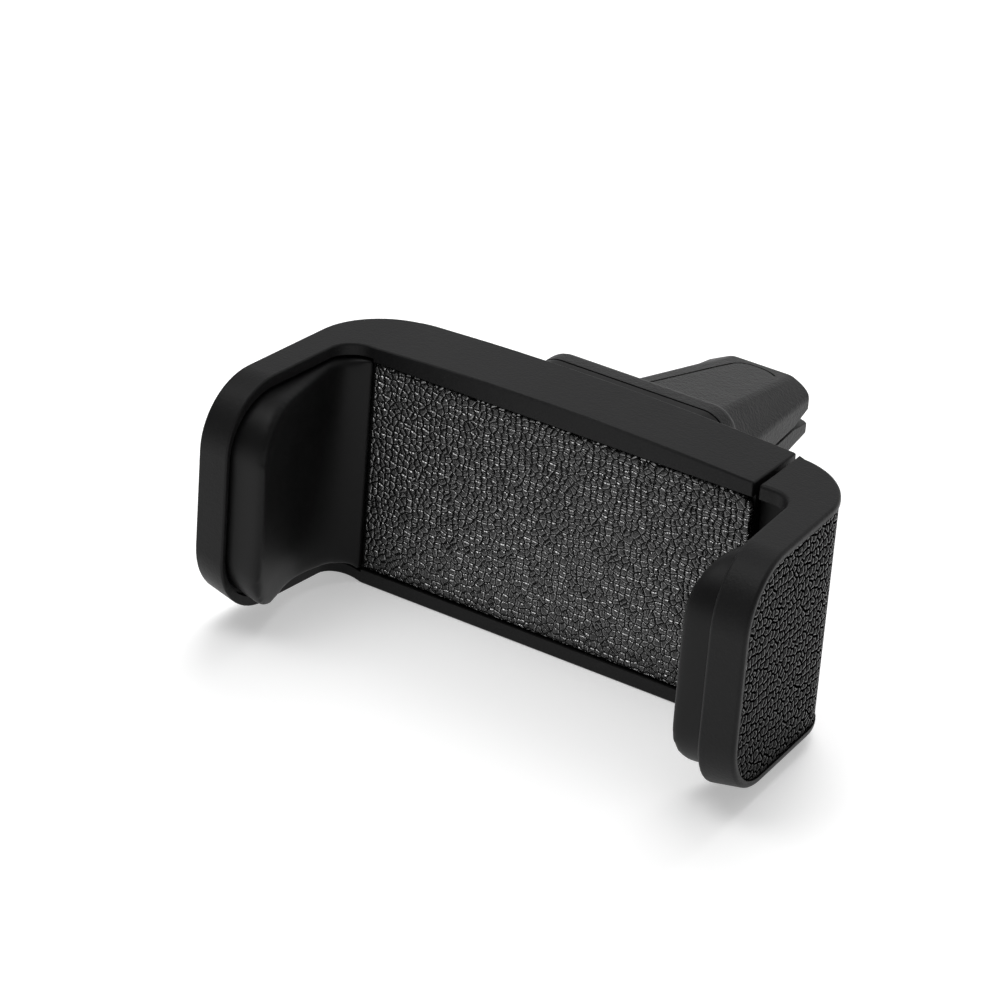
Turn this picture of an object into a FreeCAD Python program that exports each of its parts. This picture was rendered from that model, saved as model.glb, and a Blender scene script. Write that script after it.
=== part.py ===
import FreeCAD
import Part
import math
import os
import re
import Sketcher

# A clamp that holds a phone on a car's air vent, in millimetres.
# X runs along the clamp, from the fixed jaw to the sliding jaw.
# Y runs from the phone's side to the vent, and Z is up.
# The origin lies on the resting face, under the swivel's axis.

SIZES = [
    ("bed_long", 59.2, "length of the bed between the fixed jaw and the open end"),
    ("shell_deep", 11.0, "depth of the housing, front to back"),
    ("shell_high", 36.0, "height of the housing and of both jaws"),
    ("shell_wall", 2.1, "upper and lower wall, seen as the rim beside the leather"),
    ("back_wall", 2.2, "rear wall of the housing"),
    ("top_crown", 0.85, "rise of the bowed upper edge at its middle"),
    ("edge_round", 0.35, "bevel of the outer edges"),
    ("jaw_root", 7.95, "how far the fixed jaw stands out behind the bed's end"),
    ("jaw_splay", 0.07, "sideways lean of both jaws, per millimetre of reach"),
    ("jaw_wall", 4.5, "thickness of the fixed jaw"),
    ("fixed_reach", 24.6, "how far the fixed jaw reaches in front of the bed"),
    ("jaw_lift", 16.0, "tilt of the fixed jaw's lower face in degrees, rising outward"),
    ("slide_lift", 11.5, "tilt of the sliding jaw's lower face in degrees, rising outward"),
    ("jaw_corner", 9.3, "large corner radius of both jaws, seen from the side"),
    ("back_round", 11.4, "outer corner radius behind the jaws, seen from above"),
    ("inner_round", 4.0, "inner corner radius of the fixed jaw"),
    ("seam", 0.7, "gap between the housing and the closed sliding jaw"),
    ("arm_deep", 10.5, "depth of the sliding jaw's two arms"),
    ("slide_root", 10.8, "how far the sliding jaw stands out behind the bed's end"),
    ("slide_wall", 5.4, "thickness of the sliding jaw"),
    ("slide_reach", 22.6, "how far the sliding jaw reaches in front of the bed"),
    ("slide_inner", 3.4, "inner corner radius of the sliding jaw's arms"),
    ("window_wide", 5.0, "open window between the arms, beside the bed"),
    ("leather_thick", 1.0, "leather skin"),
    ("leather_set", 0.2, "leather's face behind the front of the walls"),
    ("leather_gap", 0.3, "gap round a leather skin"),
    ("plate_thick", 1.6, "front plate under the leather"),
    ("inlay_thick", 0.9, "leather inlay on the sliding jaw"),
    ("inlay_rim", 1.0, "rim of the sliding jaw round its inlay"),
    ("inlay_wrap", 7.0, "how far the inlay runs round the rear corner"),
    ("inlay_sink", 0.15, "depth of the inlay's face below the rim"),
    ("inlay_corner", 8.2, "front corner radius of the inlay"),
    ("leather_corner", 2.0, "corner radius of the leather at the open end"),
    ("pad_rim", 1.65, "rim of a jaw above and below the groove round its pad"),
    ("pad_front", 0.7, "rim of the fixed jaw in front of that groove"),
    ("slide_rim", 1.4, "rim of the sliding jaw in front of that groove"),
    ("pad_gap", 0.45, "dark groove round a pad"),
    ("pad_sink", 0.8, "depth to which a pad is let into its jaw"),
    ("pad_ease", 0.05, "clearance behind a pad"),
    ("pad_lip", 5.3, "height of a pad's front lip above the jaw's face"),
    ("pad_waist", 1.3, "thickness of a pad at its hollow"),
    ("pad_valley", 7.5, "distance of a pad's hollow in front of the bed"),
    ("pad_corner", 7.8, "corner radius of a pad, seen from the side"),
    ("pad_edge", 0.5, "bevel round a pad's lip"),
    ("pad_back", 4.6, "rear end of the sliding jaw's pad, in front of the bed"),
    ("slack", 0.1, "running clearance of the tongue in the housing"),
    ("tongue_start", 11.2, "distance of the tongue's inner end from the bed's end, jaw closed"),
    ("leg_gap", 7.3, "half the room between the tongue's two legs"),
    ("lug_long", 4.3, "length of the lugs that meet the far boss when the jaw is fully open"),
    ("web_start", 6.3, "distance of the web that joins the legs from the swivel's axis"),
    ("slot_high", 6.4, "slot in the web that clears a boss"),
    ("slot_long", 17.0, "length of that slot"),
    ("channel_wall", 0.6, "wall above and below the channel for a spring in each leg"),
    ("channel_deep", 5.0, "depth of that channel"),
    ("channel_long", 38.0, "length of that channel"),
    ("coil_radius", 1.6, "mean radius of a spring's coil"),
    ("wire_radius", 0.3, "half the thickness of the spring wire"),
    ("coil_pitch", 2.4, "pitch of the coil"),
    ("coil_turns", 9.0, "turns of each coil"),
    ("hook_ease", 0.1, "clearance of a spring eye on its post"),
    ("anchor_in", 3.2, "distance of the fixed spring post from the bed's end"),
    ("hook_back", 4.7, "distance of the tongue's spring post from the end of its channel"),
    ("post_radius", 1.2, "radius of a spring post"),
    ("boss_radius", 2.5, "radius of a screw boss"),
    ("bolt_radius", 1.0, "radius of a screw's shank"),
    ("head_radius", 1.6, "radius of a screw's head"),
    ("head_deep", 1.1, "height of a screw's head"),
    ("bolt_long", 6.0, "length of a screw"),
    ("bolt_ease", 0.02, "clearance of a screw in its hole"),
    ("seat_wall", 0.5, "jaw's wall under the heads of the tongue's screws"),
    ("bolt_line", 1.7, "distance of those screws behind the tongue's front"),
    ("corner_boss", 4.0, "distance of the first bosses from the bed's end"),
    ("corner_spread", 9.0, "height between those two bosses"),
    ("far_boss", 15.2, "distance of the far boss from the open end"),
    ("stem_radius", 4.0, "radius of the swivel's stem"),
    ("stem_fit", 0.05, "running clearance of the stem, on the radius"),
    ("collar_radius", 8.6, "collar round the stem on the housing's back"),
    ("collar_high", 2.5, "height of that collar"),
    ("neck_gap", 0.3, "gap between the collar and the neck"),
    ("neck_radius", 8.0, "radius of the swivel's neck"),
    ("neck_long", 1.8, "length of the neck"),
    ("washer_radius", 5.4, "radius of the washers on the stem"),
    ("washer_thick", 0.8, "thickness of the flat washer"),
    ("cone_thick", 0.25, "thickness of the cone washer"),
    ("cone_high", 0.42, "height of the cone washer"),
    ("pin_radius", 1.25, "radius of the swivel screw"),
    ("pin_long", 7.0, "length of the swivel screw"),
    ("pin_head", 3.1, "radius of the swivel screw's head"),
    ("pin_head_high", 1.8, "height of the swivel screw's head"),
    ("base_wide", 30.6, "side of the square swivel plate"),
    ("base_thick", 2.9, "thickness of the swivel plate"),
    ("base_corner", 4.0, "corner radius of the swivel plate"),
    ("base_edge", 0.4, "bevel of the swivel plate's front edges"),
    ("flange_thick", 3.8, "thickness of the clip's flange"),
    ("flange_edge", 2.0, "bevel round the clip's flange"),
    ("finger_long", 32.7, "length of the clip's fingers"),
    ("root_top", 8.1, "half width of a finger's face at its root"),
    ("root_wide", 12.4, "half width of a finger at its root"),
    ("root_high", 11.1, "half height of both fingers at their root"),
    ("root_side", 5.0, "half height of the fingers' side at their root"),
    ("tip_top", 4.9, "half width of a finger's face at its tip"),
    ("tip_wide", 8.6, "half width of a finger at its tip"),
    ("tip_high", 4.6, "half height of both fingers at their tip"),
    ("tip_side", 2.8, "half height of the fingers' side at their tip"),
    ("vent_slot", 0.5, "slot between the fingers"),
    ("vent_start", 3.2, "solid root between the flange and the slot"),
    ("mouth_long", 6.0, "length of the slot's flared mouth"),
    ("mouth_high", 3.0, "height of that mouth"),
    ("finger_edge", 0.9, "bevel along the fingers' upper and lower edges"),
    ("tip_corner", 3.0, "corner radius of the finger tips, seen from above"),
    ("clip_bolt_out", 9.5, "distance of the clip's screws from the stem's axis"),
]

LEFT = "-bed_long/2"
RIGHT = "bed_long/2"
FRONT = "-shell_deep/2"
BACK = "shell_deep/2"
MIDDLE = "shell_high/2"
WIDE = 400.0

size = {alias: value for alias, value, meaning in SIZES}
doc = FreeCAD.newDocument("phone_clamp")


def make_sheet():
    """Writes the driving dimensions into the document's spreadsheet."""
    sheet = doc.addObject("Spreadsheet::Sheet", "sizes")
    for row, (alias, value, meaning) in enumerate(SIZES, start=1):
        sheet.set("A%d" % row, str(value))
        sheet.set("B%d" % row, meaning)
        sheet.setAlias("A%d" % row, alias)
    doc.recompute()


def formula(text):
    """Points each name in a formula at its cell of the sheet."""
    return re.sub(r"\b([a-z]+(?:_[a-z]+)+|seam|slack)\b", r"sizes.\1", text)


def bind(item, **formulas):
    """Binds properties of an object to formulas of the sheet."""
    for name, text in formulas.items():
        item.setExpression(name.replace("__", "."), formula(text))


def origin_plane(body, role):
    """The origin plane of a body that has the given role."""
    return next(each for each in body.Origin.OriginFeatures if each.Role == role)


def add_outline(body, role, corners, shift=None):
    """A sketch with one closed outline of straight sides, each corner bound to the sheet."""
    sketch = body.newObject("Sketcher::SketchObject", body.Name + "_outline")
    sketch.AttachmentSupport = [(origin_plane(body, role), "")]
    sketch.MapMode = "FlatFace"
    if shift:
        bind(sketch, AttachmentOffset__Base__z=shift)
    count = len(corners)
    turns = [2 * math.pi * index / count for index in range(count)]
    rough = [FreeCAD.Vector(10 * math.cos(turn), 10 * math.sin(turn), 0) for turn in turns]
    for index in range(count):
        sketch.addGeometry(Part.LineSegment(rough[index], rough[(index + 1) % count]), False)
    for index in range(count):
        sketch.addConstraint(Sketcher.Constraint("Coincident", index, 2, (index + 1) % count, 1))
    for index, corner in enumerate(corners):
        for kind, text in zip(("DistanceX", "DistanceY"), corner):
            place = sketch.addConstraint(Sketcher.Constraint(kind, -1, 1, index, 1, 1.0))
            sketch.setExpression("Constraints[%d]" % place, formula(text))
    return sketch


def prism(name, role, corners, length, shift=None, both=False):
    """A body with one outline padded to a length, to one side or to both."""
    body = doc.addObject("PartDesign::Body", name)
    sketch = add_outline(body, role, corners, shift)
    pad = body.newObject("PartDesign::Pad", name + "_pad")
    pad.Profile = sketch
    pad.Midplane = both
    bind(pad, Length=length)
    doc.recompute()
    return body


def direction(edge):
    """The axis, X, Y or Z, that a straight edge runs along, or None."""
    if not isinstance(edge.Curve, Part.Line):
        return None
    way = edge.Curve.Direction
    for axis, along in zip("XYZ", way):
        if abs(abs(along) - 1) < 1e-6:
            return axis
    return None


def passing(shape, test):
    """Names of a shape's edges that pass a test."""
    return ["Edge%d" % (place + 1) for place, edge in enumerate(shape.Edges) if test(edge)]


def round_body(body, radius, test):
    """Rounds the edges of a body that pass a test."""
    base = body.Tip
    fillet = body.newObject("PartDesign::Fillet", body.Name + "_round")
    fillet.Base = (base, passing(base.Shape, test))
    bind(fillet, Radius=radius)
    doc.recompute()


def bevel_body(body, width, test):
    """Bevels the edges of a body that pass a test."""
    base = body.Tip
    chamfer = body.newObject("PartDesign::Chamfer", body.Name + "_bevel")
    chamfer.Base = (base, passing(base.Shape, test))
    bind(chamfer, Size=width)
    doc.recompute()


def along(axis, **limits):
    """A test for straight edges along an axis whose middle lies within limits of x, y and z."""
    def test(edge):
        if direction(edge) != axis:
            return False
        centre = edge.CenterOfMass
        for name, (least, most) in limits.items():
            if not least < getattr(centre, name) < most:
                return False
        return True
    return test


def block(name, corner, lengths):
    """A box from its low corner and its three lengths, all formulas."""
    box = doc.addObject("Part::Box", name)
    bind(box, Length=lengths[0], Width=lengths[1], Height=lengths[2])
    bind(box, Placement__Base__x=corner[0], Placement__Base__y=corner[1], Placement__Base__z=corner[2])
    return box


AXES = {
    "X": FreeCAD.Rotation(FreeCAD.Vector(0, 1, 0), 90),
    "Y": FreeCAD.Rotation(FreeCAD.Vector(1, 0, 0), -90),
    "Z": FreeCAD.Rotation(),
}


def rod(name, axis, start, radius, length, far_radius=None):
    """A cylinder, or a cone where a far radius is given, from its start along an axis."""
    kind = "Part::Cone" if far_radius else "Part::Cylinder"
    item = doc.addObject(kind, name)
    item.Placement = FreeCAD.Placement(FreeCAD.Vector(), AXES[axis])
    if far_radius:
        bind(item, Radius1=radius, Radius2=far_radius, Height=length)
    else:
        bind(item, Radius=radius, Height=length)
    bind(item, Placement__Base__x=start[0], Placement__Base__y=start[1], Placement__Base__z=start[2])
    return item


def fuse(name, shapes):
    """The shapes joined into one."""
    item = doc.addObject("Part::MultiFuse", name)
    item.Shapes = shapes
    item.Refine = True
    return item


def common(name, shapes):
    """What the shapes share."""
    item = doc.addObject("Part::MultiCommon", name)
    item.Shapes = shapes
    item.Refine = True
    return item


def cut(name, base, tools):
    """The base less the tools."""
    item = doc.addObject("Part::Cut", name)
    item.Base = base
    item.Tool = tools[0] if len(tools) == 1 else fuse(name + "_tools", tools)
    item.Refine = True
    return item


def bevel(name, base, width, test):
    """Bevels the edges of a finished shape that pass a test."""
    doc.recompute()
    item = doc.addObject("Part::Chamfer", name)
    item.Base = base
    item.Edges = [(place + 1, width, width) for place, edge in enumerate(base.Shape.Edges) if test(edge)]
    return item


def side_outline(name, side, front, rim, radius, back=BACK):
    """Two prisms whose shared part is a jaw seen from the side, drawn in by a rim.

    One gives the upper edge with its large front corner. The other is tilted, because a
    jaw's lower face rises outward from the bed's end.
    """
    upper = prism(name + "_upper", "YZ_Plane", [
        (back, rim),
        (back, "shell_high-" + rim),
        (front, "shell_high-" + rim),
        (front, rim),
    ], str(WIDE), both=True)
    top = upper.Shape.BoundBox.ZMax
    round_body(upper, radius, front_corner(upper, top))
    lower = prism(name + "_lower", "YZ_Plane", [
        (back, rim),
        (back, "shell_high*4"),
        (front, "shell_high*4"),
        (front, rim),
    ], str(WIDE), both=True)
    round_body(lower, radius, front_corner(lower, lower.Shape.BoundBox.ZMin))
    lower.Placement = FreeCAD.Placement(FreeCAD.Vector(), FreeCAD.Rotation(FreeCAD.Vector(0, 1, 0), 1))
    start, turn = LIFTS[side]
    bind(lower, Placement__Base__x=start, Placement__Rotation__Angle=turn)
    return [upper, lower]


def front_corner(body, level):
    """A test for the front edge of a body at one level."""
    front = body.Shape.BoundBox.YMin
    return along("X", y=(front - 0.01, front + 0.01), z=(level - 0.01, level + 0.01))


def flat_at(**levels):
    """A test for edges that lie in one of the planes given as x, y or z levels."""
    def test(edge):
        box = edge.BoundBox
        for name, values in levels.items():
            low = getattr(box, name.upper() + "Min")
            high = getattr(box, name.upper() + "Max")
            if any(abs(low - value) < 1e-4 and abs(high - value) < 1e-4 for value in values):
                return True
        return False
    return test


make_sheet()
pieces = {}

# Lines that several pieces share.
JAW_OUT = LEFT + "-jaw_root-jaw_splay*(shell_deep+({0}))"
JAW_IN = LEFT + "-jaw_root+jaw_wall-jaw_splay*(shell_deep+({0}))"
SLIDE_OUT = RIGHT + "+slide_root+jaw_splay*(arm_deep+({0}))"
SLIDE_IN = RIGHT + "+slide_root-slide_wall+jaw_splay*(arm_deep+({0}))"
REACH = FRONT + "-({0})"
INNER_BACK = BACK + "-back_wall"
PLATE_BACK = FRONT + "+leather_set+leather_thick+plate_thick"
POST_LONG = BACK + "-back_wall/2-(" + PLATE_BACK + ")"
TONGUE_FRONT = PLATE_BACK + "+slack"
TONGUE_DEEP = INNER_BACK + "-slack-(" + TONGUE_FRONT + ")"
WINDOW_END = RIGHT + "+seam+window_wide"
LIFTS = {"fixed": (LEFT, "jaw_lift"), "sliding": (RIGHT + "+seam", "-slide_lift")}

LEG_LOW = "(shell_wall+slack)"
LEG_HIGH = "(shell_high/2-leg_gap-shell_wall-slack)"
TONGUE_START = LEFT + "+tongue_start"
ANCHOR = LEFT + "+anchor_in"
HOOK = TONGUE_START + "+channel_long-hook_back"

BOSSES = [
    (LEFT + "+corner_boss", MIDDLE + "-corner_spread/2"),
    (LEFT + "+corner_boss", MIDDLE + "+corner_spread/2"),
    (RIGHT + "-far_boss", MIDDLE),
]
SPRINGS = [
    ("low", LEG_LOW + "+" + LEG_HIGH + "/2"),
    ("high", "shell_high-(" + LEG_LOW + "+" + LEG_HIGH + "/2)"),
]


def on_rim(edge, side):
    """Whether an edge lies in the upper face or in the lower face, which is tilted at a jaw."""
    slope = math.tan(math.radians(size["jaw_lift" if side == "fixed" else "slide_lift"]))
    start = -size["bed_long"] / 2 if side == "fixed" else -size["bed_long"] / 2 - size["seam"]
    for place in (edge.firstVertex().Point, edge.lastVertex().Point):
        outward = -place.x if side == "fixed" else place.x
        low = slope * max(0, outward + start)
        if abs(place.z - low) > 1e-3 and abs(place.z - size["shell_high"]) > 1e-3:
            return False
    return edge.BoundBox.ZMax < size["shell_high"] / 3 or edge.BoundBox.ZMin > size["shell_high"] * 2 / 3


def housing_rim(edge):
    """Whether an edge of the housing's blank is one of its bevelled outer edges."""
    box = edge.BoundBox
    behind_bed = box.YMin > size["shell_deep"] / 2 - 1e-4
    beside_bed = box.XMin > -size["bed_long"] / 2 - size["inner_round"]
    in_front = box.YMax < -size["shell_deep"] / 2 + 1e-4 and beside_bed
    open_end = box.XMin > size["bed_long"] / 2 - 1e-4
    return on_rim(edge, "fixed") and not behind_bed and not in_front and not open_end


def fixed_side(depth):
    """Corners of the space in front of the fixed jaw's face let in by a depth."""
    deep = "-(" + depth + ")"
    return [
        (LEFT, FRONT + "+" + depth),
        (JAW_IN.format("0") + deep, FRONT + "+" + depth),
        (JAW_IN.format("fixed_reach+5") + deep, REACH.format("fixed_reach+5")),
        (LEFT, REACH.format("fixed_reach+5")),
    ]


def pad_recess(name, side, corners, rim, reach, back=BACK):
    """The shallow bed of a pad, as a tool to cut with."""
    plan = prism(name + "_plan", "XY_Plane", corners, "shell_high")
    if side == "fixed":
        inner = -size["bed_long"] / 2
        round_body(plan, "inner_round+pad_sink",
                   along("Z", x=(-WIDE, inner - 0.01), y=(-size["shell_deep"] / 2, 0)))
    edge = REACH.format(reach + "-" + rim)
    outline = side_outline(name, side, edge, "pad_rim", "pad_corner+pad_gap", back)
    return common(name, [plan] + outline)


# The housing is a strip with the fixed jaw moulded on its left end.
def make_housing():
    """The housing: shell, fixed jaw, bosses, posts, collar and recesses."""
    plan = prism("housing_plan", "XY_Plane", [
        (RIGHT, BACK),
        (LEFT + "-jaw_root", BACK),
        (JAW_OUT.format("fixed_reach"), REACH.format("fixed_reach")),
        (JAW_IN.format("fixed_reach"), REACH.format("fixed_reach")),
        (JAW_IN.format("0"), FRONT),
        (RIGHT, FRONT),
    ], "shell_high")
    behind = plan.Shape.BoundBox.YMax
    left = -size["bed_long"] / 2
    round_body(plan, "back_round", along("Z", x=(-WIDE, left), y=(behind - 0.01, behind + 0.01)))
    front = -size["shell_deep"] / 2
    round_body(plan, "inner_round", along("Z", x=(-WIDE, left), y=(front - 0.01, front + 0.01)))
    outline = side_outline("housing_side", "fixed", REACH.format("fixed_reach"), "0", "jaw_corner")
    blank = common("housing_blank", [plan] + outline)
    solid = bevel("housing_soft", blank, size["edge_round"], housing_rim)
    crown_radius = "(bed_long^2/(8*top_crown)+top_crown/2)"
    crown_tube = rod("crown_tube", "Y", ("0", FRONT + "+edge_round", "shell_high+top_crown-" + crown_radius),
                     crown_radius, "shell_deep-2*edge_round")
    crown_bed = block("crown_bed", (LEFT, FRONT, "shell_high-1"), ("bed_long", "shell_deep", "1+top_crown"))
    crown = common("crown", [crown_tube, crown_bed])
    collar = rod("collar", "Y", ("0", BACK + "-1", MIDDLE), "collar_radius", "collar_high+1")
    outer = fuse("housing_outer", [solid, crown, collar])
    cavity = block("cavity", (LEFT + "+1", PLATE_BACK, "shell_wall"),
                   ("bed_long+5", INNER_BACK + "-(" + PLATE_BACK + ")", "shell_high-2*shell_wall"))
    opening = block("front_opening", (LEFT, FRONT + "-1", "shell_wall"),
                    ("bed_long+5", PLATE_BACK + "-(" + FRONT + ")+1", "shell_high-2*shell_wall"))
    recess = pad_recess("fixed_recess", "fixed", fixed_side("pad_sink"), "pad_front", "fixed_reach")
    bore = rod("swivel_bore", "Y", ("0", "0", MIDDLE), "stem_radius+stem_fit", "shell_deep")
    hollow = cut("housing_hollow", outer, [cavity, opening, recess, bore])
    inside = []
    for number, (across, up) in enumerate(BOSSES):
        inside.append(rod("boss_%d" % number, "Y", (across, PLATE_BACK, up), "boss_radius", POST_LONG))
    for name, up in SPRINGS:
        inside.append(rod("anchor_" + name, "Y", (ANCHOR, PLATE_BACK, up), "post_radius", POST_LONG))
    filled = fuse("housing_filled", [hollow] + inside)
    holes = []
    for number, (across, up) in enumerate(BOSSES):
        holes.append(rod("boss_hole_%d" % number, "Y", (across, PLATE_BACK, up),
                         "bolt_radius+bolt_ease", "bolt_long-plate_thick+0.5"))
    return cut("housing_shape", filled, holes)


def make_front():
    """The front plate, its screws and the leather skin on it."""
    high = "shell_high-2*shell_wall-2*{0}"
    corner = (LEFT + "+leather_gap/2", PLATE_BACK + "-plate_thick", "shell_wall+bolt_ease")
    plate = block("plate_blank", corner, ("bed_long-leather_gap", "plate_thick", high.format("bolt_ease")))
    tools = []
    screws = []
    for number, (across, up) in enumerate(BOSSES):
        start = (across, PLATE_BACK + "-plate_thick", up)
        tools.append(rod("plate_hole_%d" % number, "Y", start, "bolt_radius+bolt_ease", "plate_thick"))
        tools.append(rod("plate_sink_%d" % number, "Y", start, "head_radius+bolt_ease", "head_deep"))
        head = rod("plate_head_%d" % number, "Y", start, "head_radius", "head_deep")
        shank = rod("plate_shank_%d" % number, "Y", start, "bolt_radius", "bolt_long")
        screw = fuse("plate_bolt_%d" % number, [head, shank])
        corner = (start[0] + "-head_radius/6", start[1] + "-1", start[2] + "-head_radius*0.7")
        key = block("plate_key_%d" % number, corner, ("head_radius/3", "1.5", "head_radius*1.4"))
        screws.append(cut("plate_screw_%d" % number, screw, [key]))
    pieces["front_plate"] = cut("plate_shape", plate, tools)
    pieces["front_plate_screws"] = fuse("plate_screws_shape", screws)
    skin = prism("leather_skin", "XZ_Plane", [
        (LEFT + "+leather_gap/2", "shell_wall+leather_gap"),
        (LEFT + "+leather_gap/2", "shell_high-shell_wall-leather_gap"),
        (RIGHT + "-leather_gap/2", "shell_high-shell_wall-leather_gap"),
        (RIGHT + "-leather_gap/2", "shell_wall+leather_gap"),
    ], "leather_thick", "shell_deep/2-leather_set-leather_thick")
    round_body(skin, "leather_corner", along("Y", x=(0, WIDE)))
    pieces["leather_panel"] = skin


def make_fixed_pad():
    """The soft pad of the fixed jaw, with its lip, hollow and foot."""
    inner = "(" + JAW_IN.format("fixed_reach-pad_front-pad_gap") + ")"
    waist = "(" + JAW_IN.format("pad_valley") + ")"
    foot = "(" + JAW_IN.format("0") + ")"
    front = REACH.format("fixed_reach-pad_front-pad_gap")
    plan = prism("fixed_pad_plan", "XY_Plane", [
        (LEFT + "-pad_ease", FRONT + "+pad_sink-pad_ease"),
        (foot + "-pad_sink+pad_ease", FRONT + "+pad_sink-pad_ease"),
        (inner + "-pad_sink+pad_ease", front),
        (inner + "+pad_lip", front),
        (waist + "+pad_waist", REACH.format("pad_valley")),
        (foot + "+pad_waist/2", FRONT + "-pad_ease*2"),
        (LEFT + "-pad_ease", FRONT + "-pad_ease*2"),
    ], "shell_high")
    bed = -size["shell_deep"] / 2
    left = -size["bed_long"] / 2
    beyond = left - size["pad_waist"]
    valley = bed - size["pad_valley"]
    round_body(plan, "inner_round+pad_sink-pad_ease", along("Z", x=(-WIDE, beyond), y=(bed, WIDE)))
    round_body(plan, "inner_round*0.6", along("Z", x=(-WIDE, beyond), y=(bed - 0.5, bed)))
    round_body(plan, "pad_valley*3", along("Z", y=(valley - 0.01, valley + 0.01)))
    outline = side_outline("fixed_pad_side", "fixed", front, "(pad_rim+pad_gap)", "pad_corner")
    shape = common("fixed_pad_shape", [plan] + outline)
    pieces["fixed_jaw_pad"] = bevel("fixed_pad_soft", shape, size["pad_edge"], pad_rim_edge)


def pad_rim_edge(edge):
    """Whether an edge of the fixed pad runs round the top of its lip."""
    box = edge.BoundBox
    middle = edge.CenterOfMass
    outer = -size["bed_long"] / 2 - size["jaw_root"]
    face = outer + size["jaw_wall"] - size["jaw_splay"] * size["shell_deep"]
    reach = -size["shell_deep"] / 2 - middle.y
    return middle.x > face - size["jaw_splay"] * reach + 0.45 and reach > size["pad_valley"] / 3


def slide_outline(name, inset, back="0"):
    """A prism of the sliding jaw's outline, drawn in from its outer faces by an inset."""
    plan = prism(name, "XY_Plane", [
        (RIGHT + "-20", FRONT + "+arm_deep-" + inset),
        (SLIDE_OUT.format("-arm_deep") + "-" + inset, FRONT + "+arm_deep-" + inset),
        (SLIDE_OUT.format("slide_reach") + "-" + inset, REACH.format("slide_reach")),
        (SLIDE_IN.format("slide_reach"), REACH.format("slide_reach")),
        (SLIDE_IN.format("0"), FRONT),
        (RIGHT + "-20", FRONT),
    ], "shell_high")
    right = size["bed_long"] / 2
    bed = -size["shell_deep"] / 2
    round_body(plan, "back_round-" + inset, along("Z", x=(right, WIDE), y=(bed + 0.1, WIDE)))
    round_body(plan, "slide_inner", along("Z", x=(right, WIDE), y=(bed - 0.01, bed + 0.01)))
    return plan


def slide_rim_edge(edge):
    """Whether an edge of the sliding jaw's blank is one of its bevelled outer edges."""
    box = edge.BoundBox
    bed_front = box.YMax < -size["shell_deep"] / 2 + 1e-4 and box.YMin > -size["shell_deep"] / 2 - 1e-4
    at_seam = box.XMax < size["bed_long"] / 2 + size["seam"] + 1e-4
    return on_rim(edge, "sliding") and not bed_front and not at_seam


def inlay_zone(name, inset):
    """The part of the outer face that the leather covers, drawn in by an inset."""
    rim = "(inlay_rim+" + inset + ")"
    front = REACH.format("slide_reach-" + rim)
    zone = side_outline(name, "sliding", front, rim, "inlay_corner", FRONT + "+inlay_wrap-" + inset)
    behind_window = block(name + "_start", (WINDOW_END, FRONT + "-50", "-1"), ("60", "80", "shell_high+2"))
    return common(name, zone + [behind_window])


def make_sliding_jaw():
    """The sliding jaw with its window, pad bed, leather bed and screw holes."""
    plan = slide_outline("slide_plan", "0")
    outline = side_outline("slide_side", "sliding", REACH.format("slide_reach"), "0", "jaw_corner")
    start = block("slide_start", (RIGHT + "+seam", FRONT + "-50", "-1"), ("60", "80", "shell_high+2"))
    blank = common("slide_blank", [plan, start] + outline)
    solid = bevel("slide_soft", blank, size["edge_round"], slide_rim_edge)
    window = block("slide_window", (RIGHT, FRONT + "-window_wide", "shell_wall"),
                   ("seam+window_wide", "shell_deep-back_wall+window_wide", "shell_high-2*shell_wall"))
    bed = pad_recess("slide_recess", "sliding", slide_side("pad_sink", "5"), "slide_rim", "slide_reach",
                     FRONT + "-pad_back+pad_gap")
    core = slide_outline("inlay_core", "inlay_thick")
    zone = inlay_zone("inlay_bed_zone", "0")
    groove = cut("inlay_bed", zone, [core])
    holes = slider_bolts("slide_hole", "bolt_ease", "0.5")
    pieces["sliding_jaw"] = cut("slide_shape", solid, [window, bed, groove] + holes)
    skin = slide_outline("inlay_skin", "inlay_sink")
    cover = inlay_zone("inlay_zone", "leather_gap/2")
    pieces["jaw_leather_inlay"] = cut("inlay_shape", common("inlay_blank", [skin, cover]), [core])


def slide_side(depth, more):
    """Corners of the space beside the sliding jaw's face, let in by a depth."""
    return [
        (RIGHT, FRONT + "+" + more),
        (SLIDE_IN.format("-(" + more + ")") + "+" + depth, FRONT + "+" + more),
        (SLIDE_IN.format("slide_reach+5") + "+" + depth, REACH.format("slide_reach+5")),
        (RIGHT, REACH.format("slide_reach+5")),
    ]


def slider_bolts(name, ease, extra):
    """The two screws that hold the sliding jaw on the tongue, or their holes."""
    bolts = []
    for number, up in enumerate(("shell_high/4", "shell_high*3/4")):
        place = (WINDOW_END + "+seat_wall", TONGUE_FRONT + "+bolt_line", up)
        head = rod("%s_head_%d" % (name, number), "X", place, "head_radius+" + ease,
                   "head_deep*0.8+" + extra)
        tail = (WINDOW_END + "+seat_wall-bolt_long-" + extra, place[1], up)
        shank = rod("%s_shank_%d" % (name, number), "X", tail, "bolt_radius+" + ease,
                    "bolt_long+head_deep/2+" + extra)
        bolts.append(fuse("%s_%d" % (name, number), [head, shank]))
    return bolts


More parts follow.
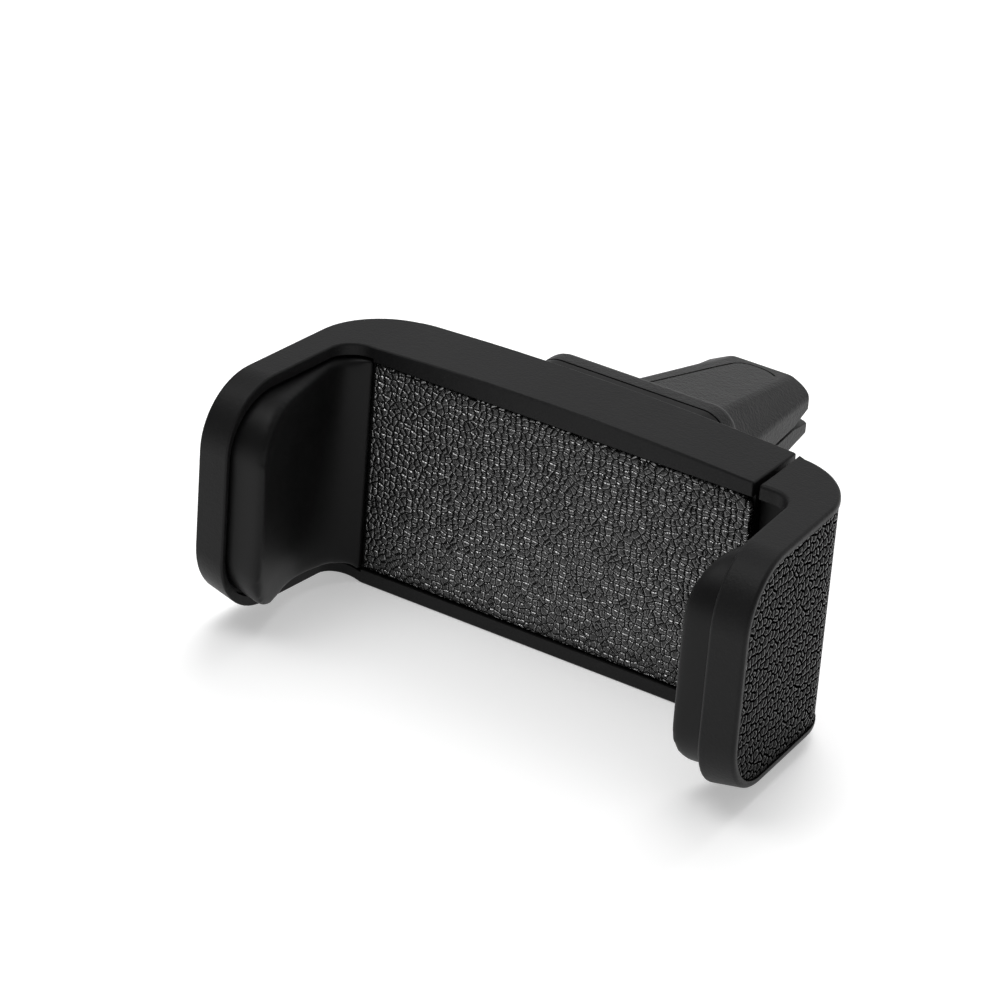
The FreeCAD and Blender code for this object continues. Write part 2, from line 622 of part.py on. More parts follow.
def make_slide_pad():
    """The soft pad of the sliding jaw."""
    front = REACH.format("slide_reach-slide_rim-pad_gap")
    inner = "(" + SLIDE_IN.format("slide_reach-slide_rim-pad_gap") + ")"
    waist = "(" + SLIDE_IN.format("pad_valley") + ")"
    foot = "(" + SLIDE_IN.format("pad_back") + ")"
    plan = prism("slide_pad_plan", "XY_Plane", [
        (foot + "+pad_sink-pad_ease", REACH.format("pad_back")),
        (foot + "-pad_waist", REACH.format("pad_back")),
        (waist + "-pad_waist", REACH.format("pad_valley")),
        (inner + "-pad_lip", front),
        (inner + "+pad_sink-pad_ease", front),
    ], "shell_high")
    valley = -size["shell_deep"] / 2 - size["pad_valley"]
    round_body(plan, "pad_valley*2", along("Z", y=(valley - 0.01, valley + 0.01)))
    outline = side_outline("slide_pad_side", "sliding", front, "(pad_rim+pad_gap)", "pad_corner",
                           REACH.format("pad_back"))
    shape = common("slide_pad_shape", [plan] + outline)
    pieces["sliding_jaw_pad"] = bevel("slide_pad_soft", shape, size["pad_edge"], slide_pad_edge)


def slide_pad_edge(edge):
    """Whether an edge of the sliding pad runs round the top of its lip."""
    middle = edge.CenterOfMass
    reach = -size["shell_deep"] / 2 - middle.y
    outer = size["bed_long"] / 2 + size["slide_root"] + size["jaw_splay"] * (size["arm_deep"] + reach)
    return middle.x < outer - size["slide_wall"] - 0.45


def make_slider():
    """The tongue that runs in the housing and carries the sliding jaw."""
    web = block("tongue_web", ("web_start", TONGUE_FRONT, LEG_LOW),
                (WINDOW_END + "-web_start", TONGUE_DEEP, "shell_high-2*" + LEG_LOW))
    leg_long = WINDOW_END + "-(" + TONGUE_START + ")"
    lug_low = MIDDLE + "-leg_gap-0.5"
    lug_high = "leg_gap+0.5-boss_radius*0.68"
    legs = []
    channels = []
    lugs = []
    for name, up in SPRINGS:
        base = LEG_LOW if name == "low" else "shell_high-" + LEG_LOW + "-" + LEG_HIGH
        leg_corner = (TONGUE_START, TONGUE_FRONT, base)
        legs.append(block("leg_" + name, leg_corner, (leg_long, TONGUE_DEEP, LEG_HIGH)))
        channel_corner = (TONGUE_START + "-1", TONGUE_FRONT + "-1", base + "+channel_wall")
        channels.append(block("channel_" + name, channel_corner,
                              ("channel_long+1", "channel_deep+1", LEG_HIGH + "-2*channel_wall")))
        lug = lug_low if name == "low" else MIDDLE + "+boss_radius*0.68"
        lugs.append(block("lug_" + name, (TONGUE_START, TONGUE_FRONT, lug),
                          ("lug_long", "boss_radius", lug_high)))
    slot = block("tongue_slot", ("web_start-1", TONGUE_FRONT + "-1", MIDDLE + "-slot_high/2"),
                 ("slot_long+1", "shell_deep+2", "slot_high"))
    posts = []
    for name, up in SPRINGS:
        posts.append(rod("hook_" + name, "Y", (HOOK, TONGUE_FRONT, up), "post_radius", TONGUE_DEEP))
    holes = slider_bolts("tongue_hole", "bolt_ease", "0.5")
    body = cut("tongue_body", fuse("tongue_blank", [web] + legs + lugs), channels + [slot] + holes)
    pieces["slider"] = fuse("tongue_shape", [body] + posts)
    screws = fuse("slider_bolts", slider_bolts("slider_bolt", "0", "0"))
    pieces["slider_screws"] = cut("slider_screws_shape", screws, bolt_keys())


def bolt_keys():
    """The driver slots in the sliding jaw's screws."""
    keys = []
    for number, up in enumerate(("shell_high/4", "shell_high*3/4")):
        place = (WINDOW_END + "+seat_wall+head_deep*0.4", TONGUE_FRONT + "+bolt_line-head_radius/6",
                 up + "-head_radius*0.7")
        keys.append(block("slider_key_%d" % number, place, ("2", "head_radius/3", "head_radius*1.4")))
    return keys


TURN_STEPS = 10
EYE_STEPS = 8
WIRE_SIDES = 4


def spring_path(up):
    """Points along the wire of a spring: an eye, a straight lead, the coil, a lead and an eye."""
    left = -size["bed_long"] / 2
    near = left + size["anchor_in"]
    far = left + size["tongue_start"] + size["channel_long"] - size["hook_back"]
    plate_back = -size["shell_deep"] / 2 + size["leather_set"] + size["leather_thick"] + size["plate_thick"]
    depth = plate_back + size["slack"] + size["channel_deep"] / 2
    eye = size["post_radius"] + size["wire_radius"] + size["hook_ease"]
    coil = size["coil_radius"]
    long = size["coil_turns"] * size["coil_pitch"]
    start = (near + far - long) / 2
    turns = [math.radians(300 * step / (EYE_STEPS - 1)) for step in range(EYE_STEPS)]
    first = [(near - eye * math.sin(turn), depth, up - eye * math.cos(turn)) for turn in reversed(turns)]
    last = [(far + eye * math.sin(turn), depth, up - eye * math.cos(turn)) for turn in turns]
    steps = int(size["coil_turns"] * TURN_STEPS)
    middle = []
    for step in range(steps + 1):
        turn = 2 * math.pi * step / TURN_STEPS
        along_coil = start + long * step / steps
        middle.append((along_coil, depth + coil * math.sin(turn), up - coil * math.cos(turn)))
    return [FreeCAD.Vector(*point) for point in first + middle + last]


def tube(points, radius):
    """A solid wire with flat sides along a line of points."""
    ways = []
    for place in range(len(points)):
        before = points[max(place - 1, 0)]
        after = points[min(place + 1, len(points) - 1)]
        ways.append((after - before).normalize())
    across = ways[0].cross(FreeCAD.Vector(0, 1, 0)).normalize()
    rings = []
    for point, way in zip(points, ways):
        across = (across - way * across.dot(way)).normalize()
        up = way.cross(across)
        corners = []
        for side in range(WIRE_SIDES):
            turn = 2 * math.pi * side / WIRE_SIDES
            corners.append(point + across * radius * math.cos(turn) + up * radius * math.sin(turn))
        rings.append(corners)
    faces = []
    for lower, upper in zip(rings, rings[1:]):
        for side in range(WIRE_SIDES):
            beside = (side + 1) % WIRE_SIDES
            faces.append((lower[side], lower[beside], upper[beside]))
            faces.append((lower[side], upper[beside], upper[side]))
    for corners, turned in ((rings[0], True), (rings[-1], False)):
        fan = [(corners[0], corners[place], corners[place + 1]) for place in range(1, WIRE_SIDES - 1)]
        faces.extend((a, c, b) if turned else (a, b, c) for a, b, c in fan)
    plates = [Part.Face(Part.makePolygon([a, b, c, a])) for a, b, c in faces]
    shell = Part.makeShell(plates)
    shell.sewShape()
    return Part.makeSolid(shell)


def make_springs():
    """Two extension springs that draw the sliding jaw home."""
    inset = (size["shell_wall"] + size["slack"] + size["shell_high"] / 2 - size["leg_gap"]) / 2
    heights = (("lower_spring", inset), ("upper_spring", size["shell_high"] - inset))
    for node, up in heights:
        spring = doc.addObject("Part::Feature", node + "_shape")
        spring.Shape = tube(spring_path(up), size["wire_radius"])
        pieces[node] = spring


def washer(name, start):
    """A flat washer on the swivel's axis."""
    body = rod(name + "_outer", "Y", ("0", start, MIDDLE), "washer_radius", "washer_thick")
    hole = rod(name + "_hole", "Y", ("0", start + "-1", MIDDLE), "pin_radius+stem_fit", "washer_thick+2")
    return cut(name + "_shape", body, [hole])


def make_swivel():
    """The swivel plate with its neck and stem, and what holds it on the housing."""
    neck_start = BACK + "+collar_high+neck_gap"
    plate_start = neck_start + "+neck_long"
    plate = prism("base_plate", "XZ_Plane", [
        ("-base_wide/2", "shell_high/2-base_wide/2"),
        ("-base_wide/2", "shell_high/2+base_wide/2"),
        ("base_wide/2", "shell_high/2+base_wide/2"),
        ("base_wide/2", "shell_high/2-base_wide/2"),
    ], "base_thick", "-(" + plate_start + "+base_thick)")
    round_body(plate, "base_corner", along("Y"))
    near = plate.Shape.BoundBox.YMin
    bevel_body(plate, "base_edge", flat_at(y=(near,)))
    neck = rod("neck", "Y", ("0", neck_start, MIDDLE), "neck_radius", "neck_long+1")
    stem = rod("stem", "Y", ("0", INNER_BACK, MIDDLE), "stem_radius", neck_start + "+1-(" + INNER_BACK + ")")
    thread = rod("stem_hole", "Y", ("0", INNER_BACK + "-1", MIDDLE), "pin_radius+bolt_ease",
                 "pin_long+1")
    holes = clip_bolts("base_hole", plate_start, "bolt_ease", "0.5")
    swivel = fuse("swivel_blank", [plate, neck, stem])
    pieces["swivel_plate"] = cut("swivel_plate_shape", swivel, [thread] + holes)
    flat_start = INNER_BACK + "-washer_thick"
    pieces["swivel_washer"] = washer("washer", flat_start)
    cone_start = flat_start + "-cone_high-cone_thick"
    cone_long = "cone_high+cone_thick"
    cone = rod("cone_outer", "Y", ("0", cone_start, MIDDLE), "pin_head", cone_long, "washer_radius")
    hollow_start = ("0", cone_start + "+cone_thick", MIDDLE)
    under = rod("cone_under", "Y", hollow_start, "pin_head", cone_long, "washer_radius")
    bore = rod("cone_hole", "Y", ("0", cone_start + "-1", MIDDLE), "pin_radius+stem_fit", "5")
    pieces["friction_washer"] = cut("cone_shape", cone, [under, bore])
    head_start = ("0", cone_start + "-pin_head_high", MIDDLE)
    head = rod("pin_head_shape", "Y", head_start, "pin_head", "pin_head_high")
    shank = rod("pin_shank", "Y", ("0", cone_start, MIDDLE), "pin_radius", "pin_long")
    drive = doc.addObject("Part::Prism", "pin_drive")
    drive.Polygon = 6
    drive.Placement = FreeCAD.Placement(FreeCAD.Vector(), AXES["Y"])
    bind(drive, Circumradius="pin_radius*1.1", Height="pin_head_high*0.6+1", Placement__Base__x="0",
         Placement__Base__y=cone_start + "-pin_head_high-1", Placement__Base__z=MIDDLE)
    pieces["swivel_screw"] = cut("swivel_screw_shape", fuse("pin_blank", [head, shank]), [drive])
    bolts = clip_bolts("clip_bolt", plate_start, "0", "0")
    pieces["clip_screws"] = cut("clip_screws_shape", fuse("clip_bolts", bolts), clip_keys(plate_start))
    return plate_start + "+base_thick"


def clip_bolts(name, start, ease, extra):
    """The two screws that hold the clip on the swivel plate, or their holes."""
    bolts = []
    for number, side in enumerate(("-", "+")):
        place = ("0" + side + "clip_bolt_out", start, MIDDLE)
        head = rod("%s_head_%d" % (name, number), "Y", place, "head_radius+" + ease, "head_deep")
        shank = rod("%s_shank_%d" % (name, number), "Y", place, "bolt_radius+" + ease,
                    "bolt_long*0.8+" + extra)
        bolts.append(fuse("%s_%d" % (name, number), [head, shank]))
    return bolts


def clip_keys(start):
    """The driver slots in the clip's screws."""
    keys = []
    for number, side in enumerate(("-", "+")):
        place = ("0" + side + "clip_bolt_out-head_radius/6", start + "-1", MIDDLE + "-head_radius*0.7")
        keys.append(block("clip_key_%d" % number, place, ("head_radius/3", "1.5", "head_radius*1.4")))
    return keys


def finger_section(name, shift, top, wide, high, side):
    """An eight-cornered section of the clip's fingers."""
    body = doc.addObject("PartDesign::Body", name)
    corners = []
    for across, up in ((top, high), (wide, side), (wide, "-" + side), (top, "-" + high)):
        corners.append((across, MIDDLE + "+" + up))
    for across, up in ((top, "-" + high), (wide, "-" + side), (wide, side), (top, high)):
        corners.append(("-" + across, MIDDLE + "+" + up))
    return add_outline(body, "XZ_Plane", corners, "-(" + shift + ")")


def make_clip(start):
    """The rubber clip that grips an air vent's slat: a flange and two fingers."""
    flange = prism("clip_flange", "XZ_Plane", [
        ("-base_wide/2", "shell_high/2-base_wide/2"),
        ("-base_wide/2", "shell_high/2+base_wide/2"),
        ("base_wide/2", "shell_high/2+base_wide/2"),
        ("base_wide/2", "shell_high/2-base_wide/2"),
    ], "flange_thick", "-(" + start + "+flange_thick)")
    round_body(flange, "base_corner", along("Y"))
    far = flange.Shape.BoundBox.YMax
    bevel_body(flange, "flange_edge", flat_at(y=(far,)))
    end = start + "+flange_thick+finger_long"
    root = finger_section("finger_root", start + "+flange_thick/2",
                          "root_top", "root_wide", "root_high", "root_side")
    tip = finger_section("finger_tip", end, "tip_top", "tip_wide", "tip_high", "tip_side")
    doc.recompute()
    fingers = doc.addObject("Part::Loft", "fingers")
    fingers.Sections = [root, tip]
    fingers.Solid = True
    fingers.Ruled = True
    plan = prism("finger_plan", "XY_Plane", [
        ("-root_wide-tip_corner/10", start),
        ("-tip_wide-tip_corner/10", end),
        ("tip_wide+tip_corner/10", end),
        ("root_wide+tip_corner/10", start),
    ], "shell_high")
    tip_line = plan.Shape.BoundBox.YMax
    round_body(plan, "tip_corner", along("Z", y=(tip_line - 0.01, tip_line + 0.01)))
    soft = bevel("fingers_soft", common("fingers_shape", [fingers, plan]), size["finger_edge"], finger_edge)
    mouth = prism("vent_mouth", "YZ_Plane", [
        (start + "+flange_thick+vent_start", MIDDLE + "-vent_slot/2"),
        (start + "+flange_thick+vent_start", MIDDLE + "+vent_slot/2"),
        (end + "-mouth_long", MIDDLE + "+vent_slot/2"),
        (end + "+0.1", MIDDLE + "+mouth_high/2"),
        (end + "+0.1", MIDDLE + "-mouth_high/2"),
        (end + "-mouth_long", MIDDLE + "-vent_slot/2"),
    ], "60", both=True)
    holes = clip_bolts("flange_hole", start + "-base_thick", "bolt_ease", "0.5")
    solid = fuse("clip_solid", [flange, soft])
    pieces["vent_clip"] = cut("vent_clip_shape", solid, [mouth] + holes)


def finger_edge(edge):
    """Whether an edge of the fingers runs along the upper or the lower face."""
    apart = abs(edge.CenterOfMass.z - size["shell_high"] / 2)
    return edge.BoundBox.YLength > size["finger_long"] / 2 and apart > size["root_side"]


pieces["housing"] = make_housing()
make_front()
make_fixed_pad()
make_sliding_jaw()
make_slide_pad()
make_slider()
make_springs()
make_clip(make_swivel())
doc.recompute()

for item in doc.Objects:
    if "Invalid" in item.State or "Error" in item.State:
        raise RuntimeError("%s did not rebuild: %s" % (item.Name, item.State))
os.makedirs("parts", exist_ok=True)
for node, item in pieces.items():
    shape = item.Shape
    if shape.isNull() or not shape.isValid():
        raise RuntimeError("%s has no sound shape" % node)
    item.Label = node
    shape.exportStep("parts/%s.step" % node)
    box = shape.BoundBox
    print("%-20s solids %d  volume %8.1f  x %.2f %.2f  y %.2f %.2f  z %.2f %.2f" % (
        node, len(shape.Solids), shape.Volume, box.XMin, box.XMax, box.YMin, box.YMax, box.ZMin, box.ZMax))
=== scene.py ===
import logging
import math
from collections.abc import Callable, Iterator, Sequence
from contextlib import contextmanager
from dataclasses import dataclass, field
from enum import Enum
from functools import reduce

import bmesh
import bpy
from mathutils import Matrix, Vector


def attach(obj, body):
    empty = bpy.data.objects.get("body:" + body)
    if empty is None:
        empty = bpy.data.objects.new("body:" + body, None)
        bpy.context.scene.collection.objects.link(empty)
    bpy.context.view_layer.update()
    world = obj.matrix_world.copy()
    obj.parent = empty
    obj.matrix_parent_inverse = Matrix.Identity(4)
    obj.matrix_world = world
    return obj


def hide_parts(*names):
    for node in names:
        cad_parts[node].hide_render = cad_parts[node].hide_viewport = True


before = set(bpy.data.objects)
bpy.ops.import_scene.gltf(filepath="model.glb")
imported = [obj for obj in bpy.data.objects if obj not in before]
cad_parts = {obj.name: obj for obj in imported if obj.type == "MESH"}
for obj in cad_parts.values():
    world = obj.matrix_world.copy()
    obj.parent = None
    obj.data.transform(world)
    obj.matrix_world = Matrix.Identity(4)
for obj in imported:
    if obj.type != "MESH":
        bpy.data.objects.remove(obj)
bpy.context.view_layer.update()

LOG = logging.getLogger("phone_clamp")

# Lengths are in millimetres and turns in degrees, but where a comment or a docstring says otherwise.
MM = 0.001
MERGE = 0.004  # the distance under which two points become one
FLAT = math.radians(0.6)  # the turn, in radians, under which an edge is dissolved
SHORTEST = 1e-3  # the length under which an edge has no direction
STRAIGHT = 0.95  # the share of an edge's run that has to lie along a direction
EdgeTest = Callable[[Vector, Vector], bool]
Piece = bpy.types.Object
Node = bpy.types.Node
Socket = bpy.types.NodeSocket
Tree = bpy.types.NodeTree
Material = bpy.types.Material
Pair = tuple[float, float]
Triple = tuple[float, float, float]


class Axis(Enum):
    """The direction in which an outline is drawn out into a solid."""

    ACROSS = (1, 0, 0)
    BACKWARDS = (0, 1, 0)
    UP = (0, 0, 1)


class Cut(Enum):
    """How one solid acts on another."""

    AWAY = "DIFFERENCE"
    JOIN = "UNION"
    SHARE = "INTERSECT"


def deselect() -> None:
    """Leaves object mode with nothing selected."""
    if bpy.context.object and bpy.context.object.mode != "OBJECT":
        bpy.ops.object.mode_set(mode="OBJECT")
    bpy.ops.object.select_all(action="DESELECT")


def make_active(piece: Piece) -> None:
    """Makes a piece the only selected one and the active one.

    Args:
        piece: The piece to work on.
    """
    deselect()
    piece.select_set(True)
    bpy.context.view_layer.objects.active = piece


@contextmanager
def editing(piece: Piece, choice: str = "SELECT") -> Iterator[None]:
    """Opens a piece in edit mode, and closes it again.

    Args:
        piece: The piece to edit.
        choice: SELECT or DESELECT for all of it.
    """
    make_active(piece)
    bpy.ops.object.mode_set(mode="EDIT")
    bpy.ops.mesh.select_all(action=choice)
    yield
    bpy.ops.object.mode_set(mode="OBJECT")


def place(corner: Sequence[float], axis: Axis, level: float) -> Vector:
    """Turns a corner of an outline into a point in space.

    Args:
        corner: The corner's two numbers.
        axis: The direction in which the outline is drawn out.
        level: The point's place along that direction.

    Returns:
        The point, in metres.
    """
    numbers = list(corner)
    numbers.insert(axis.value.index(1), level)
    return Vector(numbers) * MM


def draw_out(name: str, corners: Sequence[Sequence[float]], axis: Axis, low: float,
             high: float) -> Piece:
    """Draws a flat outline out into a solid.

    Args:
        name: The solid's name.
        corners: The outline's corners in order.
        axis: The direction in which it is drawn out.
        low: Where the solid starts.
        high: Where it ends.

    Returns:
        The solid.
    """
    deselect()
    bpy.ops.mesh.primitive_circle_add(vertices=len(corners), radius=MM, fill_type="NGON")
    piece = bpy.context.object
    piece.name = name
    piece.data.name = name
    for vertex, corner in zip(piece.data.vertices, corners):
        vertex.co = place(corner, axis, low)
    with editing(piece):
        step = Vector(axis.value) * (high - low) * MM
        bpy.ops.mesh.extrude_region_move(TRANSFORM_OT_translate={"value": step})
        bpy.ops.mesh.select_all(action="SELECT")
        bpy.ops.mesh.normals_make_consistent(inside=False)
    return piece


def box(name: str, low: Sequence[float], high: Sequence[float]) -> Piece:
    """A block between two corners."""
    corners = [(low[0], low[1]), (high[0], low[1]), (high[0], high[1]), (low[0], high[1])]
    return draw_out(name, corners, Axis.UP, low[2], high[2])


def disc(name: str, start: float, radius: float, length: float, sides: int) -> Piece:
    """A round bar on the swivel's axis.

    Args:
        name: The bar's name.
        start: The level of Y from which it runs backwards.
        radius: Its radius.
        length: Its length.
        sides: How many sides it has.

    Returns:
        The bar.
    """
    turns = [2 * math.pi * step / sides for step in range(sides)]
    corners = [(radius * math.cos(turn), SIZE.middle + radius * math.sin(turn)) for turn in turns]
    return draw_out(name, corners, Axis.BACKWARDS, start, start + length)


def round_edges(piece: Piece, test: EdgeTest, radius: float, steps: int) -> None:
    """Rounds chosen edges to a true radius with the bevel tool.

    Args:
        piece: The piece to round.
        test: Says whether the edge between two points is chosen.
        radius: The radius.
        steps: How many facets the round gets.
    """
    with editing(piece, "DESELECT"):
        bpy.ops.mesh.select_mode(type="EDGE")
        mesh = bmesh.from_edit_mesh(piece.data)
        turns = []
        for edge in mesh.edges:
            start, end = (vertex.co / MM for vertex in edge.verts)
            if len(edge.link_faces) == 2 and test(start, end):
                edge.select_set(True)
                turns.append(edge.calc_face_angle())
        bmesh.update_edit_mesh(piece.data)
        if turns:
            reach = radius * math.tan(sum(turns) / len(turns) / 2) * MM
            bpy.ops.mesh.bevel(offset=reach, offset_type="OFFSET", segments=steps, profile=0.5,
                               affect="EDGES", clamp_overlap=True)


def slice_up(piece: Piece, axis: Axis, levels: Sequence[float]) -> None:
    """Cuts a piece's faces at several levels, and keeps both sides.

    Args:
        piece: The piece to cut.
        axis: The direction that the cuts stand across.
        levels: Where the cuts are.
    """
    way = Vector(axis.value)
    with editing(piece):
        for level in levels:
            bpy.ops.mesh.select_all(action="SELECT")
            bpy.ops.mesh.bisect(plane_co=way * level * MM, plane_no=way)


def apply_modifier(piece: Piece, kind: str, **settings: object) -> None:
    """Adds a modifier to a piece and applies it.

    Args:
        piece: The piece.
        kind: Blender's name for the modifier.
        settings: The modifier's settings by name.
    """
    make_active(piece)
    modifier = piece.modifiers.new(kind.title(), kind)
    for name, value in settings.items():
        setattr(modifier, name, value)
    bpy.ops.object.modifier_apply(modifier=modifier.name)


def combine(piece: Piece, tool: Piece, cut: Cut) -> None:
    """Cuts, joins or shares one solid with another, and removes the tool.

    Args:
        piece: The solid that stays.
        tool: The solid that acts on it.
        cut: How it acts.
    """
    apply_modifier(piece, "BOOLEAN", object=tool, operation=cut.value, solver="EXACT")
    bpy.data.objects.remove(tool, do_unlink=True)


def clean(piece: Piece) -> None:
    """Merges points that lie together, dissolves needless edges and turns every face outward.

    Args:
        piece: The piece.
    """
    with editing(piece):
        bpy.ops.mesh.remove_doubles(threshold=MERGE * MM)
        bpy.ops.mesh.dissolve_limited(angle_limit=FLAT)
        bpy.ops.mesh.select_all(action="SELECT")
        bpy.ops.mesh.normals_make_consistent(inside=False)


def break_edges(piece: Piece, width: float, steps: int = 2, least: float = 32.0) -> None:
    """Rounds every edge that turns by more than an angle.

    Args:
        piece: The piece.
        width: The round's width.
        steps: How many facets the round gets.
        least: Edges that turn by less than this many degrees stay.
    """
    apply_modifier(piece, "BEVEL", width=width * MM, segments=steps, limit_method="ANGLE",
                   angle_limit=math.radians(least), miter_outer="MITER_ARC", use_clamp_overlap=True)


def smooth(piece: Piece, angle: float = 40.0) -> None:
    """Shades a piece smooth, with flat faces kept flat.

    Args:
        piece: The piece.
        angle: Edges that turn by more than this many degrees stay sharp.
    """
    make_active(piece)
    bpy.ops.object.shade_smooth_by_angle(angle=math.radians(angle))
    apply_modifier(piece, "WEIGHTED_NORMAL", weight=60, keep_sharp=True)


def along(way: int, **limits: Pair) -> EdgeTest:
    """A test for edges along a direction, 0 to 2, whose middle lies within limits of x, y and z.

    Args:
        way: The direction's number.
        limits: The lowest and highest value of x, y or z.

    Returns:
        The test.
    """

    def test(start: Vector, end: Vector) -> bool:
        """Whether an edge runs that way, within the limits.

        Args:
            start: One end of the edge.
            end: Its other end.

        Returns:
            Whether it does.
        """
        run = end - start
        if run.length < SHORTEST or abs(run[way]) < STRAIGHT * run.length:
            return False
        middle = (start + end) / 2
        return all(low < getattr(middle, name) < high for name, (low, high) in limits.items())

    return test


# SIZES


@dataclass(frozen=True)
class Sizes:
    """The clamp's sizes, in millimetres, as the source of the solids has them.

    X runs from the fixed jaw to the sliding one, Y backwards from the phone, Z up from the floor. A
    reach is a distance in front of the bed, a gap is free room round a piece, and a lift is a tilt.
    """

    left: float = -29.6
    right: float = 29.6
    front: float = -5.5
    back: float = 5.5
    high: float = 36.0
    wall: float = 2.1
    crown: float = 0.85
    splay: float = 0.07
    jaw_root: float = 7.95
    jaw_lift: float = 16.0
    jaw_wall: float = 4.5
    reach: float = 24.6
    corner: float = 9.3
    back_round: float = 11.4
    inner_round: float = 4.0
    arm_back: float = 5.0
    slide_root: float = 10.8
    slide_lift: float = 11.5
    slide_wall: float = 5.4
    slide_reach: float = 22.6
    slide_inner: float = 3.4
    seam: float = 0.7
    window: float = 5.0
    inner_back: float = 3.3
    plate_back: float = -2.7
    pad_rim: float = 1.65
    pad_front: float = 0.7
    slide_rim: float = 1.4
    pad_gap: float = 0.45
    pad_sink: float = 0.8
    pad_lip: float = 5.3
    pad_waist: float = 1.3
    pad_hollow: float = 1.0
    pad_corner: float = 7.8
    pad_back: float = 4.6
    collar: float = 8.6
    bore: float = 4.05
    neck: float = 8.0
    neck_start: float = 8.3
    stem: float = 4.0
    thread: float = 1.27
    leather_gap: float = 0.3
    inlay_rim: float = 1.0
    inlay_rear: float = 7.0
    inlay_corner: float = 8.2
    inlay_sink: float = 0.15
    inlay_gap: float = 0.12
    inlay_deep: float = 0.9
    plate_front: float = 10.1
    clip_front: float = 13.0
    clip_back: float = 16.8
    tip: float = 49.5
    middle: float = 18.0

    def jaw_out(self, reach: float) -> float:
        """The fixed jaw's outer face at a distance in front of the bed."""
        return self.left - self.jaw_root - self.splay * (self.back - self.front + reach)

    def jaw_in(self, reach: float) -> float:
        """The fixed jaw's inner face at a distance in front of the bed."""
        return self.jaw_out(reach) + self.jaw_wall

    def slide_out(self, reach: float) -> float:
        """The sliding jaw's outer face at a distance in front of the bed."""
        return self.right + self.slide_root + self.splay * (self.arm_back - self.front + reach)

    def slide_in(self, reach: float) -> float:
        """The sliding jaw's inner face at a distance in front of the bed."""
        return self.slide_out(reach) - self.slide_wall


SIZE = Sizes()


def raise_floor(piece: Piece, start: float, degrees: float) -> None:
    """Tilts a piece's lower half, so that it rises outward from a line across the clamp.

    Args:
        piece: The piece.
        start: The line's place along X.
        degrees: The tilt.
    """
    slope = math.tan(math.radians(degrees))
    for vertex in piece.data.vertices:
        outward = (vertex.co.x / MM - start) * math.copysign(1, start)
        if outward > 0 and vertex.co.z < SIZE.middle * MM:
            vertex.co.z += slope * outward * MM


# FINISHES


class Finish(Enum):
    """The finishes that the clamp's pieces have."""

    SHELL = "shell_plastic"
    SLIDE = "slide_plastic"
    LEATHER = "pebbled_leather"
    INLAY = "dull_leather"
    PAD = "pad_rubber"
    CLIP = "clip_rubber"
    STEEL = "zinc_steel"
    SPRING = "spring_wire"


class NodeSheet:
    """A short way to lay out shader nodes in a material or a node group."""

    def __init__(self, tree: Tree) -> None:
        """Keeps the tree that nodes are added to."""
        self.tree = tree

    def add(self, kind: str, inputs: dict[str | int, object] | None = None, **settings: object) -> Node:
        """Adds a node.

        Args:
            kind: Blender's name for the node.
            inputs: Values or output sockets for the node's inputs, by name or number.
            settings: The node's own settings by name.

        Returns:
            The node.
        """
        node = self.tree.nodes.new(kind)
        for name, value in settings.items():
            setattr(node, name, value)
        self.feed(node, inputs or {})
        return node

    def feed(self, node: Node, inputs: dict[str | int, object]) -> None:
        """Links sockets to a node's inputs, or sets the inputs' values.

        Args:
            node: The node.
            inputs: Values or output sockets, by the inputs' names or numbers.
        """
        for name, value in inputs.items():
            if isinstance(value, Socket):
                self.tree.links.new(value, node.inputs[name])
            else:
                node.inputs[name].default_value = value

    def maths(self, operation: str, *values: object) -> Socket:
        """Adds a Math node and returns its output."""
        return self.add("ShaderNodeMath", dict(enumerate(values)), operation=operation).outputs[0]

    def total(self, *parts: tuple[Socket, float]) -> Socket:
        """Adds up sockets, each times its share."""
        shares = [self.maths("MULTIPLY", socket, share) for socket, share in parts]
        return reduce(lambda left, right: self.maths("ADD", left, right), shares)

    def noise(self, vector: Socket, scale: object, detail: float = 3.0) -> Node:
        """Adds a Noise texture over a vector."""
        return self.add("ShaderNodeTexNoise", {"Vector": vector, "Scale": scale, "Detail": detail})

    def edges(self, vector: Socket, scale: object, randomness: float) -> Socket:
        """Adds a flat Voronoi texture and returns the distance to the edge of its cells."""
        node = self.add("ShaderNodeTexVoronoi", {"Vector": vector, "Scale": scale, "Randomness": randomness},
                        feature="DISTANCE_TO_EDGE", voronoi_dimensions="2D")
        return node.outputs["Distance"]

    def vector(self, operation: str, first: object, second: object) -> Node:
        """Adds a Vector Math node with two inputs."""
        return self.add("ShaderNodeVectorMath", {0: first, 1: second}, operation=operation)

    def spread(self, value: object, low: float, high: float, to_low: float = 0.0,
               to_high: float = 1.0) -> Socket:
        """Maps a value from one range to another and returns the output."""
        ends = {1: low, 2: high, 3: to_low, 4: to_high}
        return self.add("ShaderNodeMapRange", {0: value, **ends}).outputs[0]

    def blend(self, share: object, first: object, second: object) -> Socket:
        """Mixes two colours, each given or a socket, by a share from 0 to 1."""
        first, second = (end if isinstance(end, Socket) else (*end, 1.0) for end in (first, second))
        return self.add("ShaderNodeMix", {0: share, 6: first, 7: second}, data_type="RGBA").outputs[2]

    def bump(self, height: Socket, relief: float, strength: float = 1.0) -> Socket:
        """Adds a Bump node whose relief is in millimetres, and returns its output."""
        inputs = {"Strength": strength, "Distance": relief * MM, "Height": height}
        return self.add("ShaderNodeBump", inputs).outputs[0]


